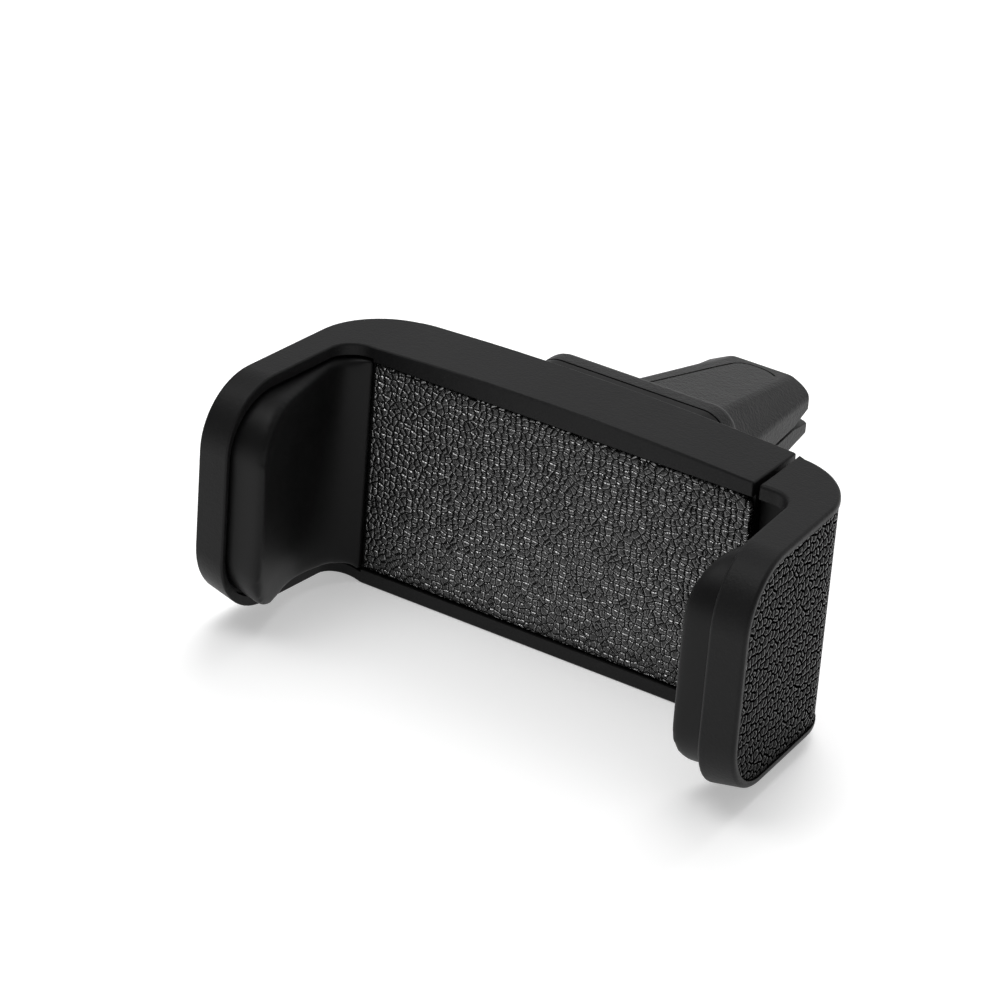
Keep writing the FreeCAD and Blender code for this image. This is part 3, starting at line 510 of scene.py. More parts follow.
def new_group(name: str, inputs: dict[str, tuple[str, object]], outputs: dict[str, str]) -> Tree:
    """Makes an empty shader node group with named sockets.

    Args:
        name: The group's name.
        inputs: Each input's kind and default value.
        outputs: Each output's kind.

    Returns:
        The group, with its Group Input and Group Output nodes.
    """
    group = bpy.data.node_groups.new(name, "ShaderNodeTree")
    for label, (kind, value) in inputs.items():
        socket = group.interface.new_socket(label, in_out="INPUT", socket_type="NodeSocket" + kind)
        if value is not None:
            socket.default_value = value
    for label, kind in outputs.items():
        group.interface.new_socket(label, in_out="OUTPUT", socket_type="NodeSocket" + kind)
    group.nodes.new("NodeGroupInput").name = "in"
    group.nodes.new("NodeGroupOutput").name = "out"
    return group


@dataclass(frozen=True)
class MouldGrain:
    """The fine spark-eroded grain of moulded plastic and rubber, and slow drifts in its gloss.

    Attributes:
        fine: The fine noise's share of the height.
        coarse: The coarse noise's share of the height.
        coarser: The coarse noise's scale, as a share of the fine one's.
        drift: The scale of the drifts.
    """

    fine: float = 0.6
    coarse: float = 0.4
    coarser: float = 0.37
    drift: float = 90.0

    def group(self) -> Tree:
        """Builds the group.

        Returns:
            The group, with Height and Drift outputs.
        """
        group = new_group("mould_grain", {"Place": ("Vector", None), "Fineness": ("Float", 3000.0)},
                          {"Height": "Float", "Drift": "Float"})
        sheet = NodeSheet(group)
        where, fineness = (group.nodes["in"].outputs[name] for name in ("Place", "Fineness"))
        fine = sheet.noise(where, fineness, 2.0)
        coarse = sheet.noise(where, sheet.maths("MULTIPLY", fineness, self.coarser), 2.0)
        sheet.feed(group.nodes["out"], {
            "Height": sheet.total((fine.outputs[0], self.fine), (coarse.outputs[0], self.coarse)),
            "Drift": sheet.noise(where, self.drift).outputs[0],
        })
        return group


@dataclass(frozen=True)
class LeatherGrain:
    """The pebbles of embossed leather: uneven cells parted by creases, with pores on top.

    The scales of sway, pebbles, pores and tone are shares of the cells' own.

    Attributes:
        sway: The scale of the noise that bends the cells.
        bend: How far it bends them, in metres.
        dome: The distance to a cell's edge over which its dome rises.
        belly: The power that rounds a dome.
        pebble: The distance and the power that round the small pebbles.
        shares: The shares of dome, pebbles and pores in the height.
        rise: The range of a dome's height over which its glossy shoulder begins.
        fall: The range over which it ends, and the gloss before and after.
    """

    sway: float = 0.55
    bend: float = 0.0006
    uneven: float = 0.75
    dome: Pair = (0.01, 0.3)
    belly: float = 0.85
    pebbles: float = 2.3
    pebble: Triple = (0.0, 0.3, 0.6)
    pores: float = 5.0
    shares: Triple = (0.84, 0.1, 0.06)
    tone: float = 0.2
    rise: Pair = (0.2, 0.4)
    fall: tuple[float, float, float, float] = (0.8, 0.98, 1.0, 0.16)

    def group(self) -> Tree:
        """Builds the group.

        Returns:
            The group, with Height, Crease, Shoulder and Tone outputs.
        """
        group = new_group("leather_grain", {"Place": ("Vector", None), "Cells": ("Float", 640.0)},
                          {"Height": "Float", "Crease": "Float", "Shoulder": "Float", "Tone": "Float"})
        sheet = NodeSheet(group)
        where, cells = (group.nodes["in"].outputs[name] for name in ("Place", "Cells"))
        sway = sheet.noise(where, sheet.maths("MULTIPLY", cells, self.sway), 2.0)
        shift = sheet.vector("SUBTRACT", sway.outputs["Color"], (0.5, 0.5, 0.5))
        bend = sheet.add("ShaderNodeVectorMath", {0: shift.outputs[0], "Scale": self.bend},
                         operation="SCALE")
        bent = sheet.vector("ADD", where, bend.outputs[0]).outputs[0]
        large = sheet.edges(bent, cells, self.uneven)
        dome = sheet.maths("POWER", sheet.spread(large, *self.dome), self.belly)
        small = sheet.edges(bent, sheet.maths("MULTIPLY", cells, self.pebbles), 1.0)
        *ends, power = self.pebble
        pebble = sheet.maths("POWER", sheet.spread(small, *ends), power)
        pores = sheet.noise(where, sheet.maths("MULTIPLY", cells, self.pores), 2.0).outputs[0]
        tone = sheet.noise(where, sheet.maths("MULTIPLY", cells, self.tone), 2.0)
        shoulder = sheet.maths("MULTIPLY", sheet.spread(dome, *self.rise), sheet.spread(dome, *self.fall))
        sheet.feed(group.nodes["out"], {
            "Height": sheet.total(*zip((dome, pebble, pores), self.shares)),
            "Crease": dome,
            "Shoulder": shoulder,
            "Tone": tone.outputs[0],
        })
        return group


def start_material(name: str) -> tuple[Material, NodeSheet, Node]:
    """Makes a material.

    Args:
        name: The material's name.

    Returns:
        The material, its node sheet and its Principled shader.
    """
    material = bpy.data.materials.new(name)
    material.use_nodes = True
    return material, NodeSheet(material.node_tree), material.node_tree.nodes["Principled BSDF"]


@dataclass(frozen=True)
class Moulding:
    """A moulded plastic or rubber with a fine grain, whose colour and gloss drift between two ends."""

    dark: Triple
    pale: Triple
    roughness: Pair
    fineness: float
    relief: float
    specular: float

    def material(self, name: str, grain: Tree) -> Material:
        """Builds the material.

        Args:
            name: The material's name.
            grain: The shared mould grain.

        Returns:
            The material.
        """
        material, sheet, shader = start_material(name)
        where = sheet.add("ShaderNodeTexCoord").outputs["Object"]
        node = sheet.add("ShaderNodeGroup", node_tree=grain)
        sheet.feed(node, {"Place": where, "Fineness": self.fineness})
        drift = node.outputs["Drift"]
        sheet.feed(shader, {
            "Base Color": sheet.blend(sheet.spread(drift, 0.35, 0.65), self.dark, self.pale),
            "Roughness": sheet.spread(drift, 0.3, 0.7, *self.roughness),
            "Normal": sheet.bump(node.outputs["Height"], self.relief),
            "Specular IOR Level": self.specular,
        })
        return material


@dataclass(frozen=True)
class Leather:
    """Black pebbled leather with painted shade in its creases and glossy shoulders on its pebbles.

    Attributes:
        unroll: The direction whose product with a place gives the distance along the leather.
        rim: The range of a pebble's height over which the painted crease shade ends.
        gloss: The colour that the shoulders mirror.
        roughness: The roughness of the rest and of the shoulders.
    """

    unroll: Triple = (1.0, 0.0, 0.0)
    rim: Pair = (0.1, 0.42)
    cells: float = 1050.0
    relief: float = 0.55
    # crease: the near-black colour painted into the creases, a painted shade for the shadow that falls in
    # them
    crease: Triple = (0.001, 0.001, 0.001)
    top: Triple = (0.08, 0.08, 0.08)
    gloss: Triple = (0.32, 0.32, 0.32)
    roughness: Pair = (0.45, 0.2)
    specular: float = 0.05

    def material(self, name: str, grain: Tree) -> Material:
        """Builds the material.

        Args:
            name: The material's name.
            grain: The shared leather grain.

        Returns:
            The material.
        """
        material, sheet, shader = start_material(name)
        where = sheet.add("ShaderNodeTexCoord").outputs["Object"]
        across = sheet.vector("DOT_PRODUCT", where, self.unroll).outputs["Value"]
        height = sheet.add("ShaderNodeSeparateXYZ", {0: where}).outputs["Z"]
        flat = sheet.add("ShaderNodeCombineXYZ", {0: across, 1: height}).outputs[0]
        node = sheet.add("ShaderNodeGroup", node_tree=grain)
        sheet.feed(node, {"Place": flat, "Cells": self.cells})
        # painted shade: the base colour runs from the crease colour up to the top colour as a pebble rises
        # out of its crease
        lifted = sheet.spread(node.outputs["Crease"], *self.rim)
        glossy = sheet.maths("MULTIPLY", node.outputs["Shoulder"], lifted)
        share = sheet.maths("MULTIPLY", lifted, sheet.spread(node.outputs["Tone"], 0.3, 0.7, 0.7, 1.0))
        sheet.feed(shader, {
            "Base Color": sheet.blend(glossy, sheet.blend(share, self.crease, self.top), self.gloss),
            "Metallic": glossy,
            "Roughness": sheet.spread(glossy, 0.0, 1.0, *self.roughness),
            "Normal": sheet.bump(node.outputs["Height"], self.relief),
            "Specular IOR Level": self.specular,
        })
        return material


@dataclass(frozen=True)
class Steel:
    """Drawn or plated steel with fine marks along X."""

    colour: Triple
    roughness: Pair
    marks: Triple = (300.0, 4000.0, 4000.0)

    def material(self, name: str) -> Material:
        """Builds the material.

        Args:
            name: The material's name.

        Returns:
            The material.
        """
        material, sheet, shader = start_material(name)
        where = sheet.add("ShaderNodeTexCoord").outputs["Object"]
        stretch = sheet.add("ShaderNodeMapping", {"Vector": where, "Scale": self.marks})
        marks = sheet.noise(stretch.outputs[0], 1.0).outputs[0]
        shade = tuple(0.8 * part for part in self.colour)
        sheet.feed(shader, {
            "Base Color": sheet.blend(sheet.spread(marks, 0.3, 0.7), shade, self.colour),
            "Roughness": sheet.spread(marks, 0.3, 0.7, *self.roughness),
            "Metallic": 1.0,
            "Normal": sheet.bump(marks, 0.01, 0.3),
        })
        return material


MOULDINGS = {
    Finish.SHELL: Moulding(dark=(0.008, 0.008, 0.0083), pale=(0.011, 0.011, 0.0113),
                           roughness=(0.44, 0.5), fineness=3000.0, relief=0.05, specular=0.19),
    Finish.SLIDE: Moulding(dark=(0.006, 0.006, 0.0062), pale=(0.009, 0.009, 0.0092),
                           roughness=(0.42, 0.5), fineness=1500.0, relief=0.01, specular=0.2),
    Finish.PAD: Moulding(dark=(0.004, 0.004, 0.0042), pale=(0.006, 0.006, 0.0062),
                         roughness=(0.42, 0.48), fineness=2200.0, relief=0.01, specular=0.2),
    Finish.CLIP: Moulding(dark=(0.018, 0.018, 0.0183), pale=(0.028, 0.028, 0.0283),
                          roughness=(0.5, 0.6), fineness=2600.0, relief=0.2, specular=0.25),
}
LEATHERS = {
    Finish.LEATHER: Leather(),
    # painted shade: the inlay's leather is a copy of the bed's leather with a darker top colour and wider
    # painted crease shade, standing in for the dimmer light on the jaw's side; it is also duller
    Finish.INLAY: Leather(unroll=(-1.0, 1.0, 0.0), rim=(0.4, 0.75), cells=840.0, relief=0.95,
                          top=(0.012, 0.012, 0.012), gloss=(0.08, 0.08, 0.08), specular=0.0),
}
STEELS = {
    Finish.STEEL: Steel(colour=(0.55, 0.55, 0.56), roughness=(0.28, 0.42)),
    Finish.SPRING: Steel(colour=(0.62, 0.61, 0.6), roughness=(0.2, 0.34)),
}


def make_finishes() -> dict[Finish, Material]:
    """Builds every finish.

    Returns:
        The materials by finish.
    """
    grain = MouldGrain().group()
    leather = LeatherGrain().group()
    finishes = {finish: look.material(finish.value, grain) for finish, look in MOULDINGS.items()}
    finishes |= {finish: look.material(finish.value, leather) for finish, look in LEATHERS.items()}
    return finishes | {finish: look.material(finish.value) for finish, look in STEELS.items()}


@dataclass
class Assembly:
    """What every sub-assembly shares: its CAD body, its finishes and its list of pieces."""

    finishes: dict[Finish, Material]
    body: str = ""
    pieces: list[Piece] = field(default_factory=list)

    def dress(self, piece: Piece, finish: Finish, slot: str, *nodes: str) -> None:
        """Gives a new piece its finish and its body, and hides the nodes that it stands for.

        Args:
            piece: The new piece.
            finish: Its finish.
            slot: Not used.
            nodes: The CAD nodes that it replaces.
        """
        piece.data.materials.clear()
        piece.data.materials.append(self.finishes[finish])
        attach(piece, self.body)
        if nodes:
            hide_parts(*nodes)
        self.pieces.append(piece)
        LOG.info("piece %s: %d faces", piece.name, len(piece.data.polygons))

    def keep(self, **nodes: Finish) -> None:
        """Gives CAD nodes their finishes and leaves their shapes alone.

        Args:
            nodes: Each node's finish, by the node's name.
        """
        for node, finish in nodes.items():
            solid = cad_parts[node]
            if not solid.material_slots:
                solid.data.materials.append(None)
            for holder in solid.material_slots:
                holder.material = self.finishes[finish]
            LOG.info("node %s keeps its solid", node)


# SUB-ASSEMBLIES


def side_corners(front: float) -> EdgeTest:
    """A test for the two large corners that run across a jaw at its front, a level of Y."""
    return along(0, y=(front - 0.1, front + 0.1))


def facing(level: float) -> EdgeTest:
    """A test for edges that lie in a plane across Y.

    Args:
        level: The plane's place.

    Returns:
        The test.
    """

    def test(start: Vector, end: Vector) -> bool:
        """Whether both ends lie in the plane."""
        return abs(start.y - level) < 0.01 and abs(end.y - level) < 0.01

    return test


@dataclass(frozen=True)
class SoftPad:
    """A pad: a broad ridge along the jaw's front, over a hollow that leans back as it rises.

    Attributes:
        side: 1 for a pad that faces the sliding jaw and -1 for one that faces the fixed jaw.
        face: The jaw's inner face at a reach.
        front: The reach of the pad's front.
        rear: The reach of its rear, 0 where its foot runs down to the bed.
        root: The height of its foot.
        valley: The reach of the hollow at the floor and at the top.
        grain: The side of the mesh's cells.
        rubs: How often the free faces are rubbed soft.
        hollow_curve: The power by which the foot runs out to the hollow.
        ridge_curve: The power by which the ridge rises from it.
    """

    side: int
    face: Callable[[float], float]
    front: float
    rear: float
    root: float
    valley: Pair
    grain: float = 0.27
    rubs: int = 120
    hollow_curve: float = 2.4
    ridge_curve: float = 1.3

    def height(self, reach: float, level: float) -> float:
        """The free face's height above the jaw.

        Args:
            reach: The distance in front of the bed.
            level: The height above the floor.

        Returns:
            The height.
        """
        s = SIZE
        low, high = self.valley
        valley = low + (high - low) * level / s.high
        if reach < valley:
            share = (valley - max(reach, self.rear)) / (valley - self.rear)
            return s.pad_hollow + (self.root - s.pad_hollow) * share ** self.hollow_curve
        share = (reach - valley) / (self.front - valley)
        return s.pad_hollow + (s.pad_lip - s.pad_hollow) * share ** self.ridge_curve

    def blank(self, name: str, lift: Pair) -> Piece:
        """Models the pad's plain form: its outline from above, cut to its outline from the side.

        Args:
            name: The pad's name.
            lift: Where the tilt of its lower face starts, and the tilt in degrees.

        Returns:
            The pad.
        """
        s = SIZE
        rim = s.pad_rim + s.pad_gap
        sink = s.pad_sink - 0.05
        points = [self.rear + 0.1 + (self.front - self.rear - 0.1) * step / 24 for step in range(25)]
        free = [(self.face(reach) + self.side * self.height(reach, s.middle), s.front - reach)
                for reach in points]
        bed = [(self.face(self.front) - self.side * sink, s.front - self.front)]
        if self.rear:
            bed.append((self.face(self.rear) - self.side * sink, s.front - points[0]))
        else:
            bed += [(self.face(-sink) - self.side * sink, s.front + sink), (free[0][0], s.front + sink)]
        piece = draw_out(name, free + bed, Axis.UP, rim, s.high - rim)
        if not self.rear:
            heel = along(2, x=(-36, -34.4), y=(s.front + 0.2, s.front + 2))
            round_edges(piece, heel, s.inner_round + 0.75, steps=8)
        outline = draw_out("pad_outline", [
            (s.back, rim - 1), (s.back, s.high - rim), (s.front - self.front, s.high - rim),
            (s.front - self.front, rim - 1)], Axis.ACROSS, -60, 60)
        for vertex in outline.data.vertices:
            vertex.co.z = max(vertex.co.z, rim * MM)
        round_edges(outline, side_corners(s.front - self.front), s.pad_corner, steps=14)
        combine(piece, outline, Cut.SHARE)
        raise_floor(piece, *lift)
        return piece

    def soften(self, piece: Piece) -> None:
        """Gives a pad an even mesh, leans its hollow and rubs its free faces soft.

        Args:
            piece: The pad's plain form.
        """
        s = SIZE
        apply_modifier(piece, "REMESH", mode="VOXEL", voxel_size=self.grain * MM)
        free = piece.vertex_groups.new(name="free")
        for vertex in piece.data.vertices:
            reach = s.front - vertex.co.y / MM
            off = self.side * (vertex.co.x / MM - self.face(reach))
            if off > 0 and reach > self.rear:
                ratio = self.height(reach, vertex.co.z / MM) / self.height(reach, s.middle)
                vertex.co.x += self.side * off * (ratio - 1) * MM
            weight = min(1.0, max(0.0, (min(off, reach - self.rear * 0.9) - 0.35) / 0.8))
            if weight > 0:
                free.add([vertex.index], weight, "REPLACE")
        apply_modifier(piece, "SMOOTH", factor=0.5, iterations=self.rubs, vertex_group="free")
        piece.vertex_groups.clear()
        make_active(piece)
        bpy.ops.object.shade_smooth()


@dataclass
class Clamp(Assembly):
    """The housing with its fixed jaw, the leather bed and the fixed pad."""

    body: str = "clamp"
    stations: int = 26

    def housing(self) -> None:
        """Models the housing: a strip with a bowed top, the fixed jaw, the collar and every recess."""
        s = SIZE
        front = s.front - s.reach
        piece = draw_out("housing_shell", [
            (s.right, s.back), (s.left - s.jaw_root, s.back), (s.jaw_out(s.reach), front),
            (s.jaw_in(s.reach), front), (s.jaw_in(0), s.front), (s.right, s.front),
        ], Axis.UP, 0, s.high)
        outer = along(2, x=(-39, -36), y=(s.back - 0.1, s.back + 0.1))
        inner = along(2, x=(-36, -33), y=(s.front - 0.1, s.front + 0.1))
        round_edges(piece, outer, s.back_round, steps=16)
        round_edges(piece, inner, s.inner_round, steps=10)
        round_edges(piece, side_corners(front), s.corner, steps=14)
        span = s.right - s.left
        slice_up(piece, Axis.ACROSS, [s.left + (span - 0.3) * step / self.stations
                                      for step in range(self.stations + 1)])
        for vertex in piece.data.vertices:
            across = vertex.co.x / MM / s.right
            if vertex.co.z > (s.high - 0.01) * MM and abs(across) < 1:
                vertex.co.z += s.crown * (1 - across ** 2) * MM
        raise_floor(piece, s.left, s.jaw_lift)
        break_edges(piece, 0.5, steps=3)
        combine(piece, disc("collar", s.back - 1, s.collar, length=3.5, sides=72), Cut.JOIN)
        combine(piece, box("bed_room", (s.left - 0.05, s.front - 2, s.wall),
                           (s.right + 3, s.plate_back, s.high - s.wall)), Cut.AWAY)
        combine(piece, box("hollow", (s.left + 1, s.plate_back - 0.5, s.wall),
                           (s.right + 3, s.inner_back, s.high - s.wall)), Cut.AWAY)
        combine(piece, disc("bore", 0, s.bore, length=12, sides=48), Cut.AWAY)
        combine(piece, self.pad_bed(), Cut.AWAY)
        clean(piece)
        break_edges(piece, 0.12)
        smooth(piece)
        self.dress(piece, Finish.SHELL, "shell_plastic", "housing")

    def pad_bed(self) -> Piece:
        """Models the shallow bed of the fixed pad.

        Returns:
            The bed, as a cutting tool.
        """
        s = SIZE
        edge = s.front - s.reach + s.pad_front
        tool = draw_out("pad_bed", [
            (s.left, s.front + s.pad_sink), (s.jaw_in(0) - s.pad_sink, s.front + s.pad_sink),
            (s.jaw_in(s.front - edge) - s.pad_sink, edge), (s.left, edge),
        ], Axis.UP, s.pad_rim, s.high - s.pad_rim)
        heel = along(2, x=(-36, -34), y=(s.front, s.front + 2))
        round_edges(tool, heel, s.inner_round + s.pad_sink, steps=10)
        round_edges(tool, side_corners(edge), s.pad_corner + s.pad_gap, steps=14)
        raise_floor(tool, s.left, s.jaw_lift)
        return tool

    def pad(self) -> None:
        """Models the fixed pad, whose foot runs smoothly to the leather's edge."""
        s = SIZE
        root = s.left - 0.05 - s.jaw_in(0.1)
        pad = SoftPad(side=1, face=s.jaw_in, front=s.reach - s.pad_front - s.pad_gap,
                      rear=0.0, root=root, valley=(10.5, 3.2))
        piece = pad.blank("fixed_pad", (s.left, s.jaw_lift))
        pad.soften(piece)
        self.dress(piece, Finish.PAD, "pad_rubber", "fixed_jaw_pad")

    def leather(self) -> None:
        """Models the leather skin of the bed, with its edges rolled over."""
        s = SIZE
        gap = s.leather_gap
        piece = draw_out("bed_leather", [
            (s.left + gap / 2, s.wall + gap), (s.right - gap / 2, s.wall + gap),
            (s.right - gap / 2, s.high - s.wall - gap), (s.left + gap / 2, s.high - s.wall - gap),
        ], Axis.BACKWARDS, s.front + 0.2, s.front + 1.2)
        round_edges(piece, along(1, x=(0, 40)), 2.0, steps=8)
        break_edges(piece, 0.4, steps=4, least=50)
        smooth(piece, 60)
        self.dress(piece, Finish.LEATHER, "bed_leather", "leather_panel")

    def build(self) -> None:
        """Builds the clamp's pieces and dresses the solids that stay."""
        self.housing()
        self.pad()
        self.leather()
        self.keep(front_plate=Finish.SLIDE, front_plate_screws=Finish.STEEL, upper_spring=Finish.SPRING,
                  lower_spring=Finish.SPRING)


@dataclass
class Slide(Assembly):
    """The sliding jaw on its tongue, with its pad and leather inlay."""

    body: str = "slide"

    def outline(self, name: str, inset: float, inner: float = 0) -> Piece:
        """Draws the sliding jaw's outline out to its full height.

        Args:
            name: The solid's name.
            inset: How far the outer faces are drawn in.
            inner: How far the inner faces are pushed out.

        Returns:
            The solid.
        """
        s = SIZE
        front = s.front - s.slide_reach
        piece = draw_out(name, [
            (s.right + s.seam, s.arm_back - inset),
            (s.slide_out(s.front - s.arm_back) - inset, s.arm_back - inset),
            (s.slide_out(s.slide_reach) - inset, front), (s.slide_in(s.slide_reach) - inner, front),
            (s.slide_in(0) - inner, s.front), (s.right + s.seam, s.front),
        ], Axis.UP, 0, s.high)
        outer_edge = along(2, x=(38, 43), y=(s.arm_back - inset - 0.1, s.arm_back + 0.1))
        inner_edge = along(2, x=(33, 37), y=(s.front - 0.1, s.front + 0.1))
        round_edges(piece, outer_edge, s.back_round - inset, steps=16)
        round_edges(piece, inner_edge, s.slide_inner, steps=10)
        if not inset:
            round_edges(piece, side_corners(front), s.corner, steps=14)
            raise_floor(piece, s.right + s.seam, s.slide_lift)
        return piece

    def inlay_zone(self, name: str, inset: float) -> Piece:
        """Models the space that the leather inlay covers.

        Args:
            name: The solid's name.
            inset: How far it is drawn in.

        Returns:
            The solid.
        """
        s = SIZE
        front = s.front - s.slide_reach + s.inlay_rim + inset
        rear = s.front + s.inlay_rear - inset
        low, high = s.inlay_rim + inset, s.high - s.inlay_rim - inset
        zone = draw_out(name, [(rear, low), (rear, high), (front, high), (front, low)],
                        Axis.ACROSS, s.right + s.seam + s.window, s.right + 40)
        round_edges(zone, side_corners(front), s.inlay_corner, steps=14)
        raise_floor(zone, s.right + s.seam, s.slide_lift)
        return zone

    def jaw(self) -> None:
        """Models the sliding jaw: two arms, the open window, the pad's bed and the leather's bed."""
        s = SIZE
        piece = self.outline("jaw_shell", 0)
        break_edges(piece, 0.55, steps=4)
        combine(piece, box("window", (s.right, s.front - s.window, s.wall),
                           (s.right + s.seam + s.window, s.inner_back, s.high - s.wall)), Cut.AWAY)
        combine(piece, self.pad_bed(), Cut.AWAY)
        groove = self.inlay_zone("inlay_bed", 0)
        combine(groove, self.outline("inlay_core", s.inlay_deep, 3), Cut.AWAY)
        combine(piece, groove, Cut.AWAY)
        clean(piece)
        break_edges(piece, 0.14)
        smooth(piece)
        self.dress(piece, Finish.SHELL, "jaw_plastic", "sliding_jaw")

    def pad_bed(self) -> Piece:
        """Models the shallow bed of the sliding pad.

        Returns:
            The bed, as a cutting tool.
        """
        s = SIZE
        edge = s.front - s.slide_reach + s.slide_rim
        rear = s.front - s.pad_back + s.pad_gap
        tool = draw_out("slide_pad_bed", [
            (s.slide_in(s.front - rear) + s.pad_sink, rear), (s.right, rear), (s.right, edge),
            (s.slide_in(s.front - edge) + s.pad_sink, edge),
        ], Axis.UP, s.pad_rim, s.high - s.pad_rim)
        round_edges(tool, side_corners(edge), s.pad_corner + s.pad_gap, steps=14)
        raise_floor(tool, s.right + s.seam, s.slide_lift)
        return tool

    def pad(self) -> None:
        """Models the sliding pad, the fixed pad's shorter fellow."""
        s = SIZE
        pad = SoftPad(side=-1, face=s.slide_in, front=s.slide_reach - s.slide_rim - s.pad_gap,
                      rear=s.pad_back, root=s.pad_waist, valley=(8.5, 6.0))
        piece = pad.blank("sliding_pad", (s.right + s.seam, s.slide_lift))
        pad.soften(piece)
        self.dress(piece, Finish.PAD, "pad_rubber", "sliding_jaw_pad")

    def inlay(self) -> None:
        """Models the leather inlay that wraps round the jaw's outer corner."""
        s = SIZE
        piece = self.outline("jaw_leather", s.inlay_sink)
        combine(piece, self.inlay_zone("inlay_cover", s.inlay_gap), Cut.SHARE)
        combine(piece, self.outline("inlay_core", s.inlay_deep, 3), Cut.AWAY)
        clean(piece)
        break_edges(piece, 0.3, steps=4, least=40)
        smooth(piece, 60)
        self.dress(piece, Finish.INLAY, "inlay_leather", "jaw_leather_inlay")

    def build(self) -> None:
        """Builds the slide's pieces and dresses the solids that stay."""
        self.jaw()
        self.pad()
        self.inlay()
        self.keep(slider=Finish.SLIDE, slider_screws=Finish.STEEL)


@dataclass
class Clip(Assembly):
    """The vent clip on its swivel.

    Attributes:
        side: The side of the swivel plate and of the clip's flange.
        bury: How deep the fingers' root lies in the flange.
        sections: For root and tip, half the flat's width, half the whole width, and both their heights.
        line: The corners of the line engraved on a finger's face, as X and Y.
    """

    body: str = "clip"
    side: float = 30.6
    bury: float = 1.9
    sections: tuple = ((8.1, 12.4, 11.1, 5.0), (4.9, 8.6, 4.6, 2.8))
    line: tuple = ((-5.0, 26.8), (-4.2, 34.5), (-3.4, 42.5), (-2.9, 46.3), (-2.3, 47.5), (-1.2, 48.1),
                   (0.4, 48.1), (1.6, 47.9), (2.7, 47.4), (3.7, 46.7))

    def square(self, name: str, low: float, high: float) -> Piece:
        """Models a square plate with rounded corners.

        Args:
            name: The plate's name.
            low: The level of Y where it starts.
            high: The level of Y where it ends.

        Returns:
            The plate.
        """
        s = SIZE
        half = self.side / 2
        plate = draw_out(name, [
            (-half, s.middle - half), (half, s.middle - half),
            (half, s.middle + half), (-half, s.middle + half),
        ], Axis.BACKWARDS, low, high)
        round_edges(plate, along(1), 4.0, steps=10)
        return plate

    def swivel(self) -> None:
        """Models the swivel plate with its neck and stem."""
        s = SIZE
        piece = self.square("swivel_base", s.plate_front, s.clip_front)
        break_edges(piece, 0.5, steps=3, least=50)
        combine(piece, disc("neck", s.neck_start, s.neck, length=3.0, sides=72), Cut.JOIN)
        combine(piece, disc("stem", s.inner_back, s.stem, length=7.0, sides=48), Cut.JOIN)
        combine(piece, disc("thread", 2.0, s.thread, length=8.3, sides=24), Cut.AWAY)
        clean(piece)
        break_edges(piece, 0.15)
        smooth(piece)
        self.dress(piece, Finish.SLIDE, "slide_plastic", "swivel_plate")

    def fingers(self) -> None:
        """Models the clip: a flange and two tapering fingers with a flared slot and a grooved face."""
        s = SIZE
        piece = self.square("vent_fingers", s.clip_front, s.clip_back)
        round_edges(piece, facing(s.clip_back), 2.0, steps=6)
        body = self.taper("taper", s.clip_back - self.bury)
        lower = [(s.clip_back + 3.2, -0.25), (s.tip - 6.0, -0.25), (s.tip + 0.1, -1.5)]
        slot = draw_out("vent_slot", [(y, s.middle + z) for y, z in lower]
                        + [(y, s.middle - z) for y, z in reversed(lower)], Axis.ACROSS, -30, 30)
        combine(body, slot, Cut.AWAY)
        clean(body)
        break_edges(body, 0.35, steps=3)
        for up in (1, -1):
            combine(body, self.groove(up), Cut.AWAY)
        combine(piece, body, Cut.JOIN)
        clean(piece)
        smooth(piece)
        self.dress(piece, Finish.CLIP, "clip_rubber", "vent_clip")

    def taper(self, name: str, root: float) -> Piece:
        """The two fingers as one tapering block with eight sides and round tips.

        Args:
            name: The block's name.
            root: Where the block starts.

        Returns:
            The block, with its long edges rounded.
        """
        s = SIZE
        rings = []
        for top, wide, high, side in self.sections:
            upper = [(wide, -side), (wide, side), (top, high)]
            rings.append(upper + [(-x, z) for x, z in reversed(upper)] + [(-top, -high), (top, -high)])
        block = draw_out(name, [(x, s.middle + z) for x, z in rings[0]], Axis.BACKWARDS, root, s.tip)
        for vertex in block.data.vertices:
            if vertex.co.y > (s.tip - 0.1) * MM:
                spot = Vector((vertex.co.x / MM, vertex.co.z / MM - s.middle))
                _, (across, height) = min(zip(*rings), key=lambda pair: (Vector(pair[0]) - spot).length)
                vertex.co.x = across * MM
                vertex.co.z = (height + s.middle) * MM
        round_edges(block, along(1), 1.5, steps=4)
        wide_root, wide_tip = self.sections[0][1] + 0.3, self.sections[1][1] + 0.3
        plan = draw_out("finger_plan", [(-wide_root, root - 1), (-wide_tip, s.tip + 0.01),
                                        (wide_tip, s.tip + 0.01), (wide_root, root - 1)], Axis.UP, 0, s.high)
        round_edges(plan, along(2, y=(s.tip - 0.1, s.tip + 0.1)), 3.0, steps=8)
        combine(block, plan, Cut.SHARE)
        return block

    def groove(self, up: int) -> Piece:
        """The shallow line engraved along two sides of a finger's face, as a cutting tool.

        Args:
            up: 1 for the upper finger and -1 for the lower one.

        Returns:
            The tool.
        """
        s = SIZE
        root = s.clip_back - self.bury
        high = self.sections[0][2]
        slope = (high - self.sections[1][2]) / (s.tip - root)
        left, right = [], []
        for step, (across, back) in enumerate(self.line):
            before = Vector(self.line[max(step - 1, 0)])
            after = Vector(self.line[min(step + 1, len(self.line) - 1)])
            way = (after - before).normalized() * 0.17
            left.append((across - way.y, back + way.x))
            right.append((across + way.y, back - way.x))
        tool = draw_out("finger_groove", left + right[::-1], Axis.UP, -0.25, 1.0)
        for vertex in tool.data.vertices:
            face = high - slope * (vertex.co.y / MM - root)
            vertex.co.z = (s.middle + up * face) * MM + up * vertex.co.z
        if up < 0:
            tool.data.flip_normals()
        return tool

